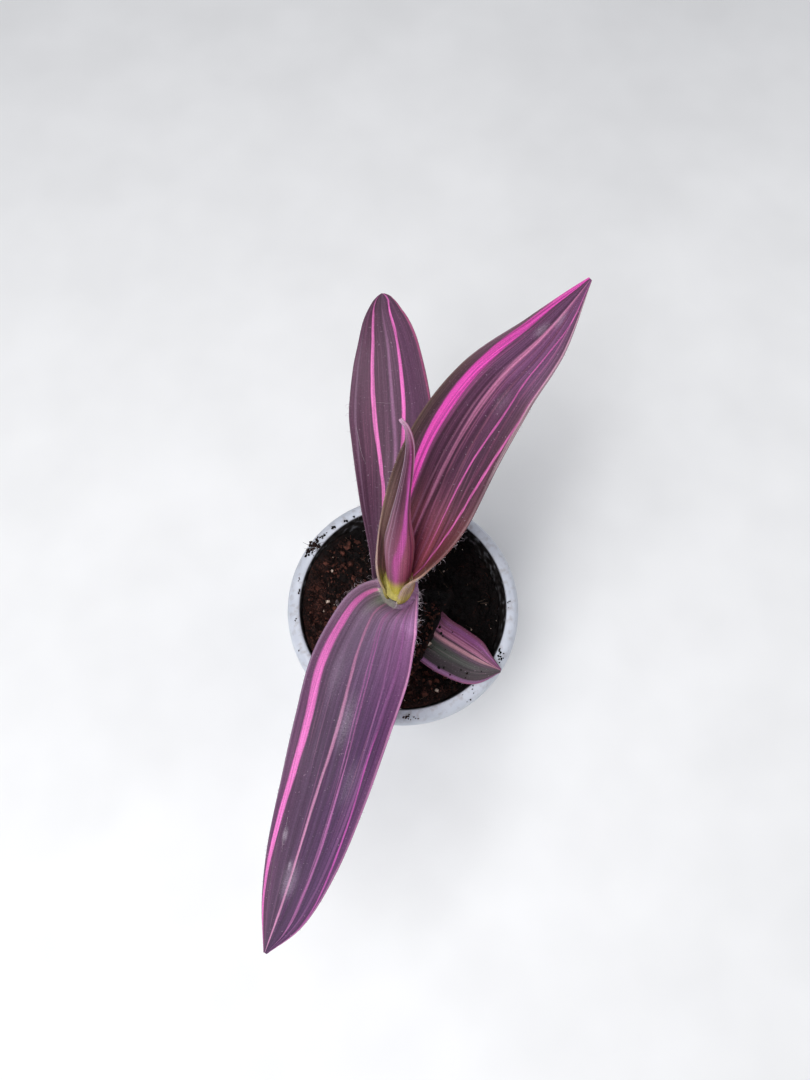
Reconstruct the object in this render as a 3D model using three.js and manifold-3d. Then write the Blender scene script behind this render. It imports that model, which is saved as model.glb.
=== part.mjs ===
// Potted tradescantia: one young upright shoot with striped purple leaves, in a
// small plastic nursery pot filled with peat. Millimetres, +Z up, origin at the
// middle of the pot's foot, and -Y towards the long front leaf.
import * as THREE from "three";
import { mergeVertices } from "three/addons/utils/BufferGeometryUtils.js";
import Module from "manifold-3d";

const wasm = await Module();
wasm.setup();

// ---- Driving dimensions ----
const GAP = 0.3; // clearance between pieces that touch

// Pot
const POT_HEIGHT = 62;
const RIM_RADIUS = 40; // widest, at the lower edge of the turned-down lip
const RIM_DROP = 6; // height of the lip
const RIM_LAND = 4.8; // width of the lip seen from above
const FOOT_RADIUS = 28.2;
const WALL = 1.2;
const FLOOR_TOP = 2.6;
const FOOT_RECESS = 1.2; // the underside between the boss and the standing ring
const BOSS_RADIUS = 6;
const DRAIN_COUNT = 6;
const DRAIN_RADIUS = 2.8;
const DRAIN_CIRCLE = 15;
const POT_SIDES = 48; // the peat has as many, so that its facets follow the wall

// Peat
const SOIL_LEVEL = 52.6; // about 9 mm under the rim
const HEAP_HEIGHT = 7.4; // heaped nearly to the rim at the left and the front
const HEAP_HEADING = 215; // degrees from +X to the heap's middle
const SOIL_RINGS = [1, 0.92, 0.8, 0.66, 0.52, 0.38, 0.25]; // shares of its top radius
const HOLE_RADIUS = 6; // plain hole that the shoot stands in
const HOLE_FLOOR = 42.7;

// Stem
const STEM_FOOT = HOLE_FLOOR + GAP;
const STEM_TIP = 91.6;
const STEM_RADIUS = 3;
const NODE_RADIUS = 3.1; // swellings that the leaves grow from
const NODE_HEIGHTS = [68.5, 80.8, 88.2];
const STEM_SIDES = 16;
const LEAN = new THREE.Vector2(-0.028, -0.037); // sideways travel for each mm of height

// Leaves
const RIB_THICKNESS = 0.9;
const EDGE_THICKNESS = 0.65;
const LEAF_STEPS = 28; // along the midrib
const LEAF_STRIPS = 10; // from edge to edge

// Each leaf is a list of stations from the foot of its sheath to its tip:
// [midrib x, y, z,  half width,  curl,  face x, y, z]
// The curl is the angle in degrees that each half of the blade turns through,
// upwards if positive: near 180 the two edges meet and the leaf is a tube, as
// in the sheath that clasps the stem. The face is the way its upper side looks.
const LEAVES = {
  leaf_low: {
    color: "#5c5059",
    stations: [
      [3.2, -2.3, 43.2, 11, 165, -0.83, 0.55, 0],
      [3.5, -2.7, 52, 12, 150, -0.8, 0.5, 0.15],
      [6, -5.8, 57, 10.5, 72, -0.6, 0.3, 0.7],
      [10, -11, 59.2, 8.9, 12, -0.4, 0.15, 0.9],
      [17, -16, 61, 8.7, -5, -0.3, 0.05, 0.95],
      [25, -20.6, 63.1, 7, 5, -0.25, -0.05, 0.96],
      [32.5, -22.8, 63.9, 0.6, 10, -0.2, -0.1, 0.97],
    ],
  },
  leaf_back: {
    color: "#6e5064",
    stations: [
      [-2.9, 2.2, 70.5, 11, 165, 0.55, -0.83, 0],
      [-3.4, 2.5, 76.5, 12, 150, 0.5, -0.83, 0.1],
      [-4.8, 5.6, 80.5, 7.2, 70, 0.3, -0.87, 0.3],
      [-5.4, 9.2, 88, 5.4, 62, 0, -0.8, 0.55],
      [-3.6, 22.3, 101, 9.6, 45, -0.15, -0.7, 0.7],
      [-1.9, 34.5, 112, 13.1, 35, -0.35, -0.6, 0.7],
      [-2.1, 44.3, 121.5, 14, 30, -0.45, -0.43, 0.76],
      [-3.6, 58, 128.5, 10.9, 25, -0.45, -0.3, 0.8],
      [-5.6, 69.3, 130, 6.3, 15, -0.4, -0.1, 0.85],
      [-6.1, 78.3, 128, 1.5, 5, -0.3, 0.1, 0.9],
    ],
  },
  leaf_front: {
    color: "#624d5e",
    stations: [
      [-2.7, -5.7, 85, 12.4, 163, 0.35, 0.94, 0],
      [-2.8, -7.2, 89.7, 11.4, 106, 0.3, 0.85, 0.4],
      [-7.3, -12.2, 96, 12.4, 15, 0.2, 0.5, 0.85],
      [-12.1, -26.8, 103, 14.4, -10, 0.1, 0.25, 0.96],
      [-16.8, -44, 105.4, 13.3, -6, 0.05, 0, 1],
      [-21.3, -60, 104, 12, 2, 0, -0.2, 0.97],
      [-27, -77.4, 98.3, 10.2, 6, -0.1, -0.35, 0.93],
      [-32.7, -92.5, 90, 6.7, 10, -0.18, -0.42, 0.89],
      [-38.5, -104, 83, 0.6, 20, -0.23, -0.43, 0.87],
    ],
  },
  leaf_right: {
    color: "#65485c",
    stations: [
      [0.6, 1.5, 90.3, 10.8, 165, -0.5, -0.85, 0],
      [0.4, 1.8, 95.5, 11.4, 150, -0.45, -0.86, 0.2],
      [1.4, 6.9, 101, 14.4, 112, -0.3, -0.77, 0.56],
      [7.3, 20.8, 113, 14.8, 50, 0.03, -0.74, 0.67],
      [14.1, 33, 126, 14.8, 42, 0.07, -0.73, 0.68],
      [23.8, 44, 138, 12.9, 40, 0.14, -0.71, 0.69],
      [36, 52.6, 148, 8.2, 35, 0.32, -0.62, 0.72],
      [47.9, 64.8, 155, 0.6, 30, 0.38, -0.58, 0.72],
    ],
  },
  leaf_young: {
    color: "#7d4a5f",
    stations: [
      [-1.6, -4.7, 93.4, 5.6, 150, 0.05, 1, 0],
      [-1.2, -1.6, 104, 8.8, 150, 0.03, 0.95, -0.3],
      [-0.9, 3.6, 114.5, 10, 145, 0, 0.9, -0.42],
      [-0.4, 8.8, 125, 6.2, 142, -0.05, 0.9, -0.42],
      [0.5, 12.8, 135, 3.8, 150, -0.1, 0.9, -0.4],
      [1.5, 16.2, 145, 2.4, 130, 0, 0.9, -0.4],
      [1.9, 19.6, 152.5, 1.6, 110, 0.1, 0.9, -0.4],
      [1.1, 22.4, 156.7, 0.9, 90, 0.3, 0.8, -0.6],
      [-0.5, 24.7, 157.5, 0.45, 60, 0.3, 0.6, -0.8],
    ],
  },
};

// ---- Helpers ----
function mesh(name, geometry, color, roughness) {
  const material = new THREE.MeshStandardMaterial({ color, roughness, metalness: 0 });
  const made = new THREE.Mesh(geometry, material);
  made.name = name;
  return made;
}

// A ring-symmetric solid from its [radius, height] outline.
function turned(outline, sides) {
  const points = outline.map(([radius, height]) => new THREE.Vector2(radius, height));
  return new THREE.LatheGeometry(points, sides).rotateX(Math.PI / 2);
}

function toSolid(geometry) {
  const bare = geometry.clone();
  bare.deleteAttribute("normal");
  bare.deleteAttribute("uv");
  const merged = mergeVertices(bare, 1e-3);
  return new wasm.Manifold(
    new wasm.Mesh({
      numProp: 3,
      vertProperties: merged.attributes.position.array,
      triVerts: new Uint32Array(merged.index.array),
    }),
  );
}

function toGeometry(solid) {
  const { vertProperties, triVerts } = solid.getMesh();
  return new THREE.BufferGeometry()
    .setAttribute("position", new THREE.BufferAttribute(vertProperties, 3))
    .setIndex(new THREE.BufferAttribute(triVerts, 1));
}

// ---- Pot: thin tapered wall, turned-down lip, drained foot ----
const LIP_UNDERSIDE = POT_HEIGHT - RIM_DROP;
const RIM_MOUTH = RIM_RADIUS - RIM_LAND; // radius of the rim's inner edge
const WALL_SLOPE = (RIM_MOUTH + WALL - FOOT_RADIUS) / POT_HEIGHT;
const outerWall = (height) => FOOT_RADIUS + WALL_SLOPE * height;
const innerWall = (height) => outerWall(height) - WALL;

function makePot() {
  const bevel = 0.8; // on the foot's edges
  const ring = FOOT_RADIUS - 3.4; // inside of the standing ring
  const lipRoot = POT_HEIGHT - 1.8; // where the lip's underside meets the wall
  const middle = POT_HEIGHT / 2;
  const outline = [
    [0, 0],
    [BOSS_RADIUS, 0],
    [BOSS_RADIUS + bevel, FOOT_RECESS],
    [ring - bevel, FOOT_RECESS],
    [ring, 0],
    [FOOT_RADIUS - bevel, 0],
    [outerWall(bevel), bevel],
    [outerWall(middle), middle],
    [outerWall(lipRoot), lipRoot],
    [RIM_RADIUS - WALL - 0.9, lipRoot],
    [RIM_RADIUS - WALL, LIP_UNDERSIDE],
    [RIM_RADIUS, LIP_UNDERSIDE],
    // the lip's rounded shoulder
    [RIM_RADIUS - 0.45, POT_HEIGHT - 2.8],
    [RIM_RADIUS - 0.9, POT_HEIGHT - 1.4],
    [RIM_RADIUS - 1.5, POT_HEIGHT - 0.4],
    [RIM_RADIUS - 2.4, POT_HEIGHT],
    [RIM_MOUTH + bevel, POT_HEIGHT],
    [RIM_MOUTH + 0.2, POT_HEIGHT - 0.3],
    [innerWall(POT_HEIGHT - 1), POT_HEIGHT - 1],
    [innerWall(middle), middle],
    [innerWall(FLOOR_TOP + 1), FLOOR_TOP + 1],
    [innerWall(FLOOR_TOP) - 1, FLOOR_TOP],
    [0, FLOOR_TOP],
  ];
  let pot = toSolid(turned(outline, POT_SIDES));
  for (let i = 0; i < DRAIN_COUNT; i++) {
    const angle = (2 * Math.PI * i) / DRAIN_COUNT;
    const drill = new THREE.CylinderGeometry(DRAIN_RADIUS, DRAIN_RADIUS, 3 * FLOOR_TOP, 16)
      .rotateX(Math.PI / 2)
      .translate(DRAIN_CIRCLE * Math.cos(angle), DRAIN_CIRCLE * Math.sin(angle), FLOOR_TOP);
    pot = pot.subtract(toSolid(drill));
  }
  return mesh("pot", toGeometry(pot), "#b9bdc9", 0.45);
}

// ---- Soil: the peat fills the pot, its top is lumpy and heaped against the wall ----
function soilTop(x, y) {
  const towards = 0.5 + 0.5 * Math.cos(Math.atan2(y, x) - THREE.MathUtils.degToRad(HEAP_HEADING));
  const outwards = Math.hypot(x, y) / RIM_MOUTH;
  const heap = HEAP_HEIGHT * THREE.MathUtils.smoothstep(towards, 0.35, 0.7) * outwards ** 2.5;
  const lumps =
    0.55 * Math.sin(0.31 * x + 1.2) * Math.cos(0.27 * y) +
    0.35 * Math.sin(0.72 * x - 0.45 * y + 2) * Math.sin(0.66 * y + 0.35 * x) +
    0.2 * Math.sin(1.3 * x + 0.5) * Math.sin(1.1 * y - 0.8);
  return SOIL_LEVEL + heap + lumps;
}

function makeSoil() {
  const foot = FLOOR_TOP + GAP;
  const side = (height) => innerWall(height) - GAP;
  const corner = 1.6; // clears the rounding inside the pot's foot
  const outline = [
    [0, foot],
    [side(foot) - corner, foot],
    [side(foot + corner), foot + corner],
    [side(SOIL_LEVEL / 2), SOIL_LEVEL / 2],
    ...SOIL_RINGS.map((share) => [side(SOIL_LEVEL) * share, SOIL_LEVEL]),
    [HOLE_RADIUS, SOIL_LEVEL],
    [HOLE_RADIUS, HOLE_FLOOR],
    [0, HOLE_FLOOR],
  ];
  const soil = turned(outline, POT_SIDES);
  const place = soil.attributes.position;
  for (let i = 0; i < place.count; i++) {
    if (Math.abs(place.getZ(i) - SOIL_LEVEL) > 0.01) continue;
    const [x, y] = [place.getX(i), place.getY(i)];
    const top = soilTop(x, y);
    const spread = side(top) / side(SOIL_LEVEL); // follows the tapered wall
    place.setXYZ(i, x * spread, y * spread, top);
  }
  return mesh("soil", soil, "#211510", 0.95);
}

// ---- Stem: a leaning shoot, swollen a little under each leaf ----
function makeStem() {
  const swell = 1.6; // half the height of a swelling
  const outline = [
    [0, STEM_FOOT],
    [STEM_RADIUS - 0.4, STEM_FOOT],
    [STEM_RADIUS, STEM_FOOT + 0.6],
  ];
  for (const height of NODE_HEIGHTS) {
    outline.push([STEM_RADIUS, height - swell]);
    outline.push([NODE_RADIUS, height - swell / 3]);
    outline.push([NODE_RADIUS, height + swell / 3]);
    outline.push([STEM_RADIUS - 0.1, height + swell]);
  }
  outline.push([STEM_RADIUS - 0.8, STEM_TIP - 0.8]);
  outline.push([STEM_RADIUS - 1.6, STEM_TIP]);
  outline.push([0, STEM_TIP]);
  const stem = turned(outline, STEM_SIDES);
  const place = stem.attributes.position;
  for (let i = 0; i < place.count; i++) {
    const rise = place.getZ(i) - STEM_FOOT;
    place.setX(i, place.getX(i) + LEAN.x * rise);
    place.setY(i, place.getY(i) + LEAN.y * rise);
  }
  return mesh("stem", stem, "#7a5a62", 0.55);
}

// ---- Leaves: sheath and blade are one piece, swept along the midrib ----
function leafGeometry(stations) {
  const curve = (pick) => {
    const points = stations.map((station) => new THREE.Vector3(...pick(station)));
    return new THREE.CatmullRomCurve3(points, false, "catmullrom", 0.5);
  };
  const midrib = curve((s) => s.slice(0, 3));
  const form = curve((s) => [s[3], s[4], 0]);
  const face = curve((s) => s.slice(5, 8));
  const upper = [];
  const lower = [];
  for (let i = 0; i <= LEAF_STEPS; i++) {
    const t = i / LEAF_STEPS;
    const place = midrib.getPoint(t);
    const along = midrib.getTangent(t);
    const side = along.clone().cross(face.getPoint(t)).normalize();
    const up = side.clone().cross(along);
    const { x: halfWidth, y: curlDegrees } = form.getPoint(t);
    let curl = THREE.MathUtils.degToRad(curlDegrees);
    if (Math.abs(curl) < 0.01) curl = 0.01; // a flat stretch is a very large arc
    const radius = halfWidth / curl;
    for (let j = 0; j <= LEAF_STRIPS; j++) {
      const across = (2 * j) / LEAF_STRIPS - 1;
      const turn = curl * across;
      const middle = place
        .clone()
        .addScaledVector(side, radius * Math.sin(turn))
        .addScaledVector(up, radius * (1 - Math.cos(turn)));
      const normal = up.clone().multiplyScalar(Math.cos(turn)).addScaledVector(side, -Math.sin(turn));
      const thickness = EDGE_THICKNESS + (RIB_THICKNESS - EDGE_THICKNESS) * (1 - across * across);
      upper.push(middle.clone().addScaledVector(normal, thickness / 2));
      lower.push(middle.addScaledVector(normal, -thickness / 2));
    }
  }
  const row = LEAF_STRIPS + 1;
  const below = upper.length;
  const faces = [];
  const quad = (a, b, c, d) => faces.push(a, b, c, a, c, d);
  for (let i = 0; i < LEAF_STEPS; i++) {
    for (let j = 0; j < LEAF_STRIPS; j++) {
      const near = i * row + j;
      const far = near + row;
      const [nearBelow, farBelow] = [below + near, below + far];
      // both faces are split along the same diagonal
      faces.push(near, near + 1, far + 1, near, far + 1, far);
      faces.push(nearBelow, farBelow + 1, nearBelow + 1, nearBelow, farBelow, farBelow + 1);
    }
    const left = i * row;
    const right = left + LEAF_STRIPS;
    quad(left, left + row, below + left + row, below + left);
    quad(right, below + right, below + right + row, right + row);
  }
  const last = LEAF_STEPS * row;
  for (let j = 0; j < LEAF_STRIPS; j++) {
    quad(j, below + j, below + j + 1, j + 1);
    quad(last + j, last + j + 1, below + last + j + 1, below + last + j);
  }
  return new THREE.BufferGeometry().setFromPoints([...upper, ...lower]).setIndex(faces);
}

const plant = new THREE.Group();
plant.add(makePot(), makeSoil(), makeStem());
for (const [name, { color, stations }] of Object.entries(LEAVES)) {
  plant.add(mesh(name, leafGeometry(stations), color, 0.5));
}

export default plant;
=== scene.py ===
import math
import random

import bpy
from mathutils import Matrix, Vector, noise


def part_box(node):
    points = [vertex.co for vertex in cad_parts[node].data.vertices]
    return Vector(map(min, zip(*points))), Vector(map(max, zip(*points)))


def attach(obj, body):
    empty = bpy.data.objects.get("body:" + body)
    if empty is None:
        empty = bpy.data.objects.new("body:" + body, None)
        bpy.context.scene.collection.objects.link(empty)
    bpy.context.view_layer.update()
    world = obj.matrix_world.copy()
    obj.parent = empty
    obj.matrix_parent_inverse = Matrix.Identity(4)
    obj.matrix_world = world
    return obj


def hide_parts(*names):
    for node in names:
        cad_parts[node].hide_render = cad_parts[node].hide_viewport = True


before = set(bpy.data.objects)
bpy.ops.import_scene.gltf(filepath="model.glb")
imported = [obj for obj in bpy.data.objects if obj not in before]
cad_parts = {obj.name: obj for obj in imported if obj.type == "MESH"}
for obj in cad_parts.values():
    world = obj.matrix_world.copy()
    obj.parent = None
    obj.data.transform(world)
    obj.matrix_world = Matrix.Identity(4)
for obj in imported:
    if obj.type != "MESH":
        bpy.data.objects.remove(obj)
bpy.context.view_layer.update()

MM = 0.001  # every size below is in millimetres, and Blender's own unit is the metre


# ---- Camera ----
# The photograph was taken from close above, a little to the front of the pot, with
# a short lens, so the leaf tips that stand highest look larger than the pot does.
CAMERA_PLACE = (0.7, -57.6, 334.1)
CAMERA_TILT = 16.5  # degrees from looking straight down
FRAME_HEIGHT = 36  # mm of sensor for the photograph's 1080 pixels of height
LENS = 27.03  # mm
CLIP_START = 5

bpy.ops.object.camera_add(rotation=(math.radians(CAMERA_TILT), 0, 0))
camera = bpy.context.object
camera.location = Vector(CAMERA_PLACE) * MM
camera.data.sensor_fit = "VERTICAL"
camera.data.sensor_height = FRAME_HEIGHT
camera.data.lens = LENS
camera.data.clip_start = CLIP_START * MM
bpy.context.scene.camera = camera


# ---- Pot ----
# A thin nursery pot of pale blue-grey polypropylene, injection moulded in one piece:
# a tapered wall, a rolled lip that is turned down all round, a raised foot ring and
# six drain holes. Peat has left crumbs and brown smears on the lip.
rim_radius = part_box("pot")[1].x / MM
pot_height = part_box("pot")[1].z / MM
RIM_DROP = 6  # how far the lip is turned down
RIM_LAND = 4.8  # and how wide it is
LIP_ROOT_DROP = 1.8  # from the lip's top to where its underside leaves the wall
SHOULDER_INSET = 3.2  # from the rim in to where the lip's top begins to round off
SHOULDER_WIDTH = 3.1
SHOULDER_HEIGHT = 4
FOOT_RADIUS = 28.2
FOOT_RING_WIDTH = 3.4
FOOT_ROUND = 0.9
FOOT_RECESS = 1.2
WALL = 1.2
FLOOR_TOP = 2.6
FLOOR_ROUND = 1.2
BOSS_RADIUS = 6
DRAIN_COUNT = 6
DRAIN_RADIUS = 2.8
DRAIN_CIRCLE = 15
DRAIN_STEPS = 32
POT_STEPS = 144
mouth_radius = rim_radius - RIM_LAND
wall_slope = (mouth_radius + WALL - FOOT_RADIUS) / pot_height


def outer_wall(height):
    return FOOT_RADIUS + wall_slope * height


def inner_wall(height):
    return outer_wall(height) - WALL


def deselect():
    bpy.ops.object.select_all(action="DESELECT")


def arc(centre, radii, start, end, steps):
    """Points on an elliptical arc in the outline plane, from one angle to the other."""
    angles = [math.radians(start + (end - start) * i / steps) for i in range(steps + 1)]
    return [
        (centre[0] + radii[0] * math.cos(angle), centre[1] + radii[1] * math.sin(angle))
        for angle in angles
    ]


def turn(name, outline, steps):
    """A ring-symmetric piece, spun from its closed (radius, height) outline."""
    deselect()
    bpy.ops.mesh.primitive_circle_add(vertices=len(outline))
    piece = bpy.context.object
    piece.name = name
    for vertex, (radius, height) in zip(piece.data.vertices, outline):
        vertex.co = (radius * MM, 0, height * MM)
    bpy.ops.object.mode_set(mode="EDIT")
    bpy.ops.mesh.select_all(action="SELECT")
    bpy.ops.mesh.spin(steps=steps, angle=math.tau, center=(0, 0, 0), axis=(0, 0, 1))
    bpy.ops.mesh.select_all(action="SELECT")
    bpy.ops.mesh.remove_doubles(threshold=0.002 * MM)
    bpy.ops.mesh.delete_loose()
    bpy.ops.mesh.normals_make_consistent(inside=False)
    bpy.ops.object.mode_set(mode="OBJECT")
    return piece


def finish_piece(piece, skins, nodes=()):
    """Gives a piece its skins, and ties it to the plant's one body."""
    piece.data.materials.clear()
    for skin in skins:
        piece.data.materials.append(skin)
    deselect()
    piece.select_set(True)
    bpy.context.view_layer.objects.active = piece
    bpy.ops.object.transform_apply(location=True, rotation=True, scale=True)
    bpy.ops.object.shade_smooth_by_angle(angle=math.radians(40))
    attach(piece, "root")
    if nodes:
        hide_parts(*nodes)


def linear(code):
    """An sRGB hex colour as the linear colour that a shader takes."""
    shares = [int(code[i : i + 2], 16) / 255 for i in (1, 3, 5)]
    return [s / 12.92 if s <= 0.04045 else ((s + 0.055) / 1.055) ** 2.4 for s in shares] + [1]


def start_skin(name):
    skin = bpy.data.materials.new(name)
    skin.use_nodes = True
    skin.node_tree.nodes.clear()
    return skin


def add(skin, kind, inputs=None, give=0, **settings):
    """Adds one node with its settings and links, and returns one of its outputs."""
    node = skin.node_tree.nodes.new("ShaderNode" + kind)
    for setting, value in settings.items():
        setattr(node, setting, value)
    for socket, value in (inputs or {}).items():
        if isinstance(value, bpy.types.NodeSocket):
            skin.node_tree.links.new(value, node.inputs[socket])
        else:
            node.inputs[socket].default_value = value
    return node.outputs[give] if len(node.outputs) else None


def grade(ramp, stops):
    """Sets the stops of a colour ramp from (place, hex colour) pairs."""
    elements = ramp.node.color_ramp.elements
    for place, code in stops[2:]:
        elements.new(place)
    for element, (place, code) in zip(elements, stops):
        element.position = place
        element.color = linear(code)
    return ramp


lip_underside = pot_height - RIM_DROP
lip_root = pot_height - LIP_ROOT_DROP
shoulder_start = rim_radius - SHOULDER_INSET
shoulder_foot = pot_height - SHOULDER_HEIGHT
foot_ring = FOOT_RADIUS - FOOT_RING_WIDTH
round_top = FLOOR_TOP + FLOOR_ROUND
pot_outline = (
    [(0, 0.02), (BOSS_RADIUS, 0), (BOSS_RADIUS + 0.8, FOOT_RECESS), (foot_ring - 0.8, FOOT_RECESS)]
    + [(foot_ring, 0.2), (foot_ring + 0.3, 0)]
    + arc((FOOT_RADIUS - FOOT_ROUND, FOOT_ROUND), (0.92, FOOT_ROUND), -90, 0, 6)
    + [(outer_wall(h), h) for h in (8, 20, 34, 46, 54)]
    + arc((outer_wall(lip_root) + 1, lip_root - 1), (1, 1), 180, 90, 5)
    + arc((rim_radius - 2.1, lip_root - 1), (1, 1), 90, 10, 4)
    + arc((rim_radius - 0.5, lip_underside + 0.5), (0.6, 0.5), 190, 360, 8)
    + arc((shoulder_start, shoulder_foot), (SHOULDER_WIDTH, SHOULDER_HEIGHT), 4, 90, 12)
    + arc((mouth_radius + 0.9, pot_height - 1.1), (0.98, 1.1), 90, 180, 8)
    + [(inner_wall(h), h) for h in (58, 54, 40, 20)]
    + arc((inner_wall(round_top) - FLOOR_ROUND, round_top), (FLOOR_ROUND, FLOOR_ROUND), 0, -90, 5)
    + [(0, FLOOR_TOP)]
)
pot = turn("nursery_pot", pot_outline, POT_STEPS)

deselect()
drills = []
for i in range(DRAIN_COUNT):
    angle = math.tau * i / DRAIN_COUNT
    centre = Vector((math.cos(angle), math.sin(angle), 0)) * DRAIN_CIRCLE * MM
    bpy.ops.mesh.primitive_cylinder_add(
        vertices=DRAIN_STEPS, radius=DRAIN_RADIUS * MM, depth=4 * FLOOR_TOP * MM, location=centre
    )
    drills.append(bpy.context.object)
for drill in drills:
    drill.select_set(True)
bpy.ops.object.join()
cutter = bpy.context.object
deselect()
bpy.context.view_layer.objects.active = pot
drains = pot.modifiers.new("drains", "BOOLEAN")
drains.object = cutter
bpy.ops.object.modifier_apply(modifier=drains.name)
bpy.data.objects.remove(cutter)


# Polypropylene, moulded: a satin skin with the faint orange peel of the tool, slightly
# translucent, so that it looks soft and cool. The wall inside the mouth is painted near black,
# as painted shade in the pot's hollow together with a wet peat stain, and peat dust lies on the
# lip in a brownish film.
def pot_plastic():
    skin = start_skin("polypropylene_moulded")
    place = add(skin, "TexCoord", give="Object")
    cloud = add(skin, "TexNoise", {"Vector": place, "Scale": 1 / (9 * MM), "Detail": 3}, "Fac")
    tone = grade(add(skin, "ValToRGB", {"Fac": cloud}), [(0.3, "#bfc4cf"), (0.7, "#ced2dc")])
    film = add(skin, "TexNoise", {"Vector": place, "Scale": 1 / (2.2 * MM), "Detail": 5}, "Fac")
    height = add(skin, "SeparateXYZ", {"Vector": place}, "Z")
    on_top = add(
        skin, "MapRange", {"Value": height, "From Min": shoulder_foot * MM, "From Max": pot_height * MM}
    )
    dusty = add(skin, "MapRange", {"Value": film, "From Min": 0.5, "From Max": 0.72, "To Max": 0.5})
    dust = add(skin, "Math", {0: dusty, 1: on_top}, operation="MULTIPLY")
    colour = add(skin, "MixRGB", {"Fac": dust, "Color1": tone, "Color2": linear("#8f8482")})

    flat = add(skin, "VectorMath", {0: place, 1: (1, 1, 0)}, operation="MULTIPLY")
    radius = add(skin, "VectorMath", {0: flat}, "Value", operation="LENGTH")
    untapered = add(skin, "Math", {0: height, 1: -wall_slope, 2: radius}, operation="MULTIPLY_ADD")
    wall_face = (FOOT_RADIUS - WALL + 0.05) * MM
    within_wall = add(
        skin,
        "MapRange",
        {"Value": untapered, "From Min": (FOOT_RADIUS - 0.7) * MM, "From Max": wall_face},
        interpolation_type="SMOOTHSTEP",
    )
    low, high = (FLOOR_TOP - 0.6) * MM, (FLOOR_TOP - 0.1) * MM
    above_floor = add(skin, "MapRange", {"Value": height, "From Min": low, "From Max": high})
    inside = add(skin, "Math", {0: within_wall, 1: above_floor}, operation="MULTIPLY")
    # Painted shade and stain: the inner wall, down to the floor, goes near black with grey streaks.
    shade_and_stain = grade(
        add(skin, "ValToRGB", {"Fac": film}), [(0.4, "#0e0a0a"), (0.55, "#2a2625"), (0.72, "#77797f")]
    )
    colour = add(skin, "MixRGB", {"Fac": inside, "Color1": colour, "Color2": shade_and_stain})
    peel = add(skin, "TexNoise", {"Vector": place, "Scale": 1 / (0.8 * MM), "Detail": 2}, "Fac")
    rough = add(skin, "MapRange", {"Value": cloud, "To Min": 0.36, "To Max": 0.52})
    bump = add(skin, "Bump", {"Height": peel, "Strength": 0.25, "Distance": 0.05 * MM})
    finish = {"Base Color": colour, "Roughness": rough, "IOR": 1.49, "Normal": bump}
    milky = {"Subsurface Weight": 0.1, "Subsurface Radius": (1, 1, 1), "Subsurface Scale": 1 * MM}
    shader = add(skin, "BsdfPrincipled", {**finish, **milky})
    add(skin, "OutputMaterial", {"Surface": shader})
    return skin


finish_piece(pot, [pot_plastic()], ["pot"])


# ---- Peat ----
# Moist sphagnum peat fills the pot to 9 mm under the lip, and is heaped nearly up to it
# at the left and the front, and over the foot of the lowest leaf. It is pressed in by
# hand, so its top is all clods and crumbs, with fibres and a few grains of perlite.
GAP = 0.3
SOIL_LEVEL = 52.6
HEAP_HEIGHT = 7.4
HEAP_HEADING = 215  # degrees from +X
HEAP_ROUND = (0.35, 0.7)  # where it begins and where it is full: 1 at its heading, 0 opposite
BANK_HEIGHT = 9.6
BANK_LINE = (9.8, -11.3)  # a place on the line where the bank ends and the lowest leaf begins
BANK_SLANT = 0.45  # sideways travel of that line for each mm along Y
BANK_RISE = 0.33  # and what the bank gains in height
BANK_FALL = (-1.5, 2)  # it falls off over these distances past the line,
BANK_FRONT = (-27, -20)  # rises over these places along Y,
BANK_BACK = (1.5, 8)  # ends over these,
BANK_LEFT = (-14, 0)  # and begins over these along X
CLOD_SIZE = 2.9
CLOD_DEPTH = 1.5
CRUMB_SIZE = 1.1
CRUMB_DEPTH = 0.55
GRIT_SIZE = 0.45
GRIT_DEPTH = 0.22
COLLAR_RADIUS = 4.9  # where the peat closes round the shoot
COLLAR_DEPTH = 6
PEAT_RINGS = 130
PEAT_STEPS = 300
peat_edge = inner_wall(SOIL_LEVEL) - GAP


def eased(value, low, high):
    """0 up to low, 1 from high on, and smooth between them."""
    share = min(max((value - low) / (high - low), 0), 1)
    return share * share * (3 - 2 * share)


def peat_swell(x, y):
    """The top of the peat in millimetres, without its clods."""
    towards = 0.5 + 0.5 * math.cos(math.atan2(y, x) - math.radians(HEAP_HEADING))
    outward = (math.hypot(x, y) / mouth_radius) ** 2.5
    heap = HEAP_HEIGHT * eased(towards, *HEAP_ROUND) * outward
    ahead = y - BANK_LINE[1]
    past = x - BANK_LINE[0] - BANK_SLANT * ahead
    along = eased(y, *BANK_FRONT) * (1 - eased(y, *BANK_BACK))
    bank = (BANK_HEIGHT + BANK_RISE * ahead) * (1 - eased(past, *BANK_FALL)) * along
    bank *= eased(x, *BANK_LEFT)
    lumps = (  # low crossing waves, 5 to 23 mm long
        0.55 * math.sin(0.31 * x + 1.2) * math.cos(0.27 * y)
        + 0.35 * math.sin(0.72 * x - 0.45 * y + 2) * math.sin(0.66 * y + 0.35 * x)
        + 0.2 * math.sin(1.3 * x + 0.5) * math.sin(1.1 * y - 0.8)
    )
    return SOIL_LEVEL + max(heap, bank) + lumps


def peat_top(x, y):
    """The same with clods of 3 mm and crumbs of 1 mm on it."""
    spot = Vector((x, y, 0))
    warp = 0.6 * noise.noise(spot / 1.7)
    clods = noise.noise(spot / CLOD_SIZE + Vector((warp, -warp, 0)), noise_basis="VORONOI_F1")
    crumbs = noise.noise(spot / CRUMB_SIZE, noise_basis="VORONOI_F2F1")
    grit = noise.noise(spot / GRIT_SIZE)
    at_wall = 1 - 0.6 * eased(math.hypot(x, y), peat_edge - 2, peat_edge)
    relief = -CLOD_DEPTH * clods + CRUMB_DEPTH * crumbs + GRIT_DEPTH * grit
    return peat_swell(x, y) + relief * at_wall + 0.35


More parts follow.
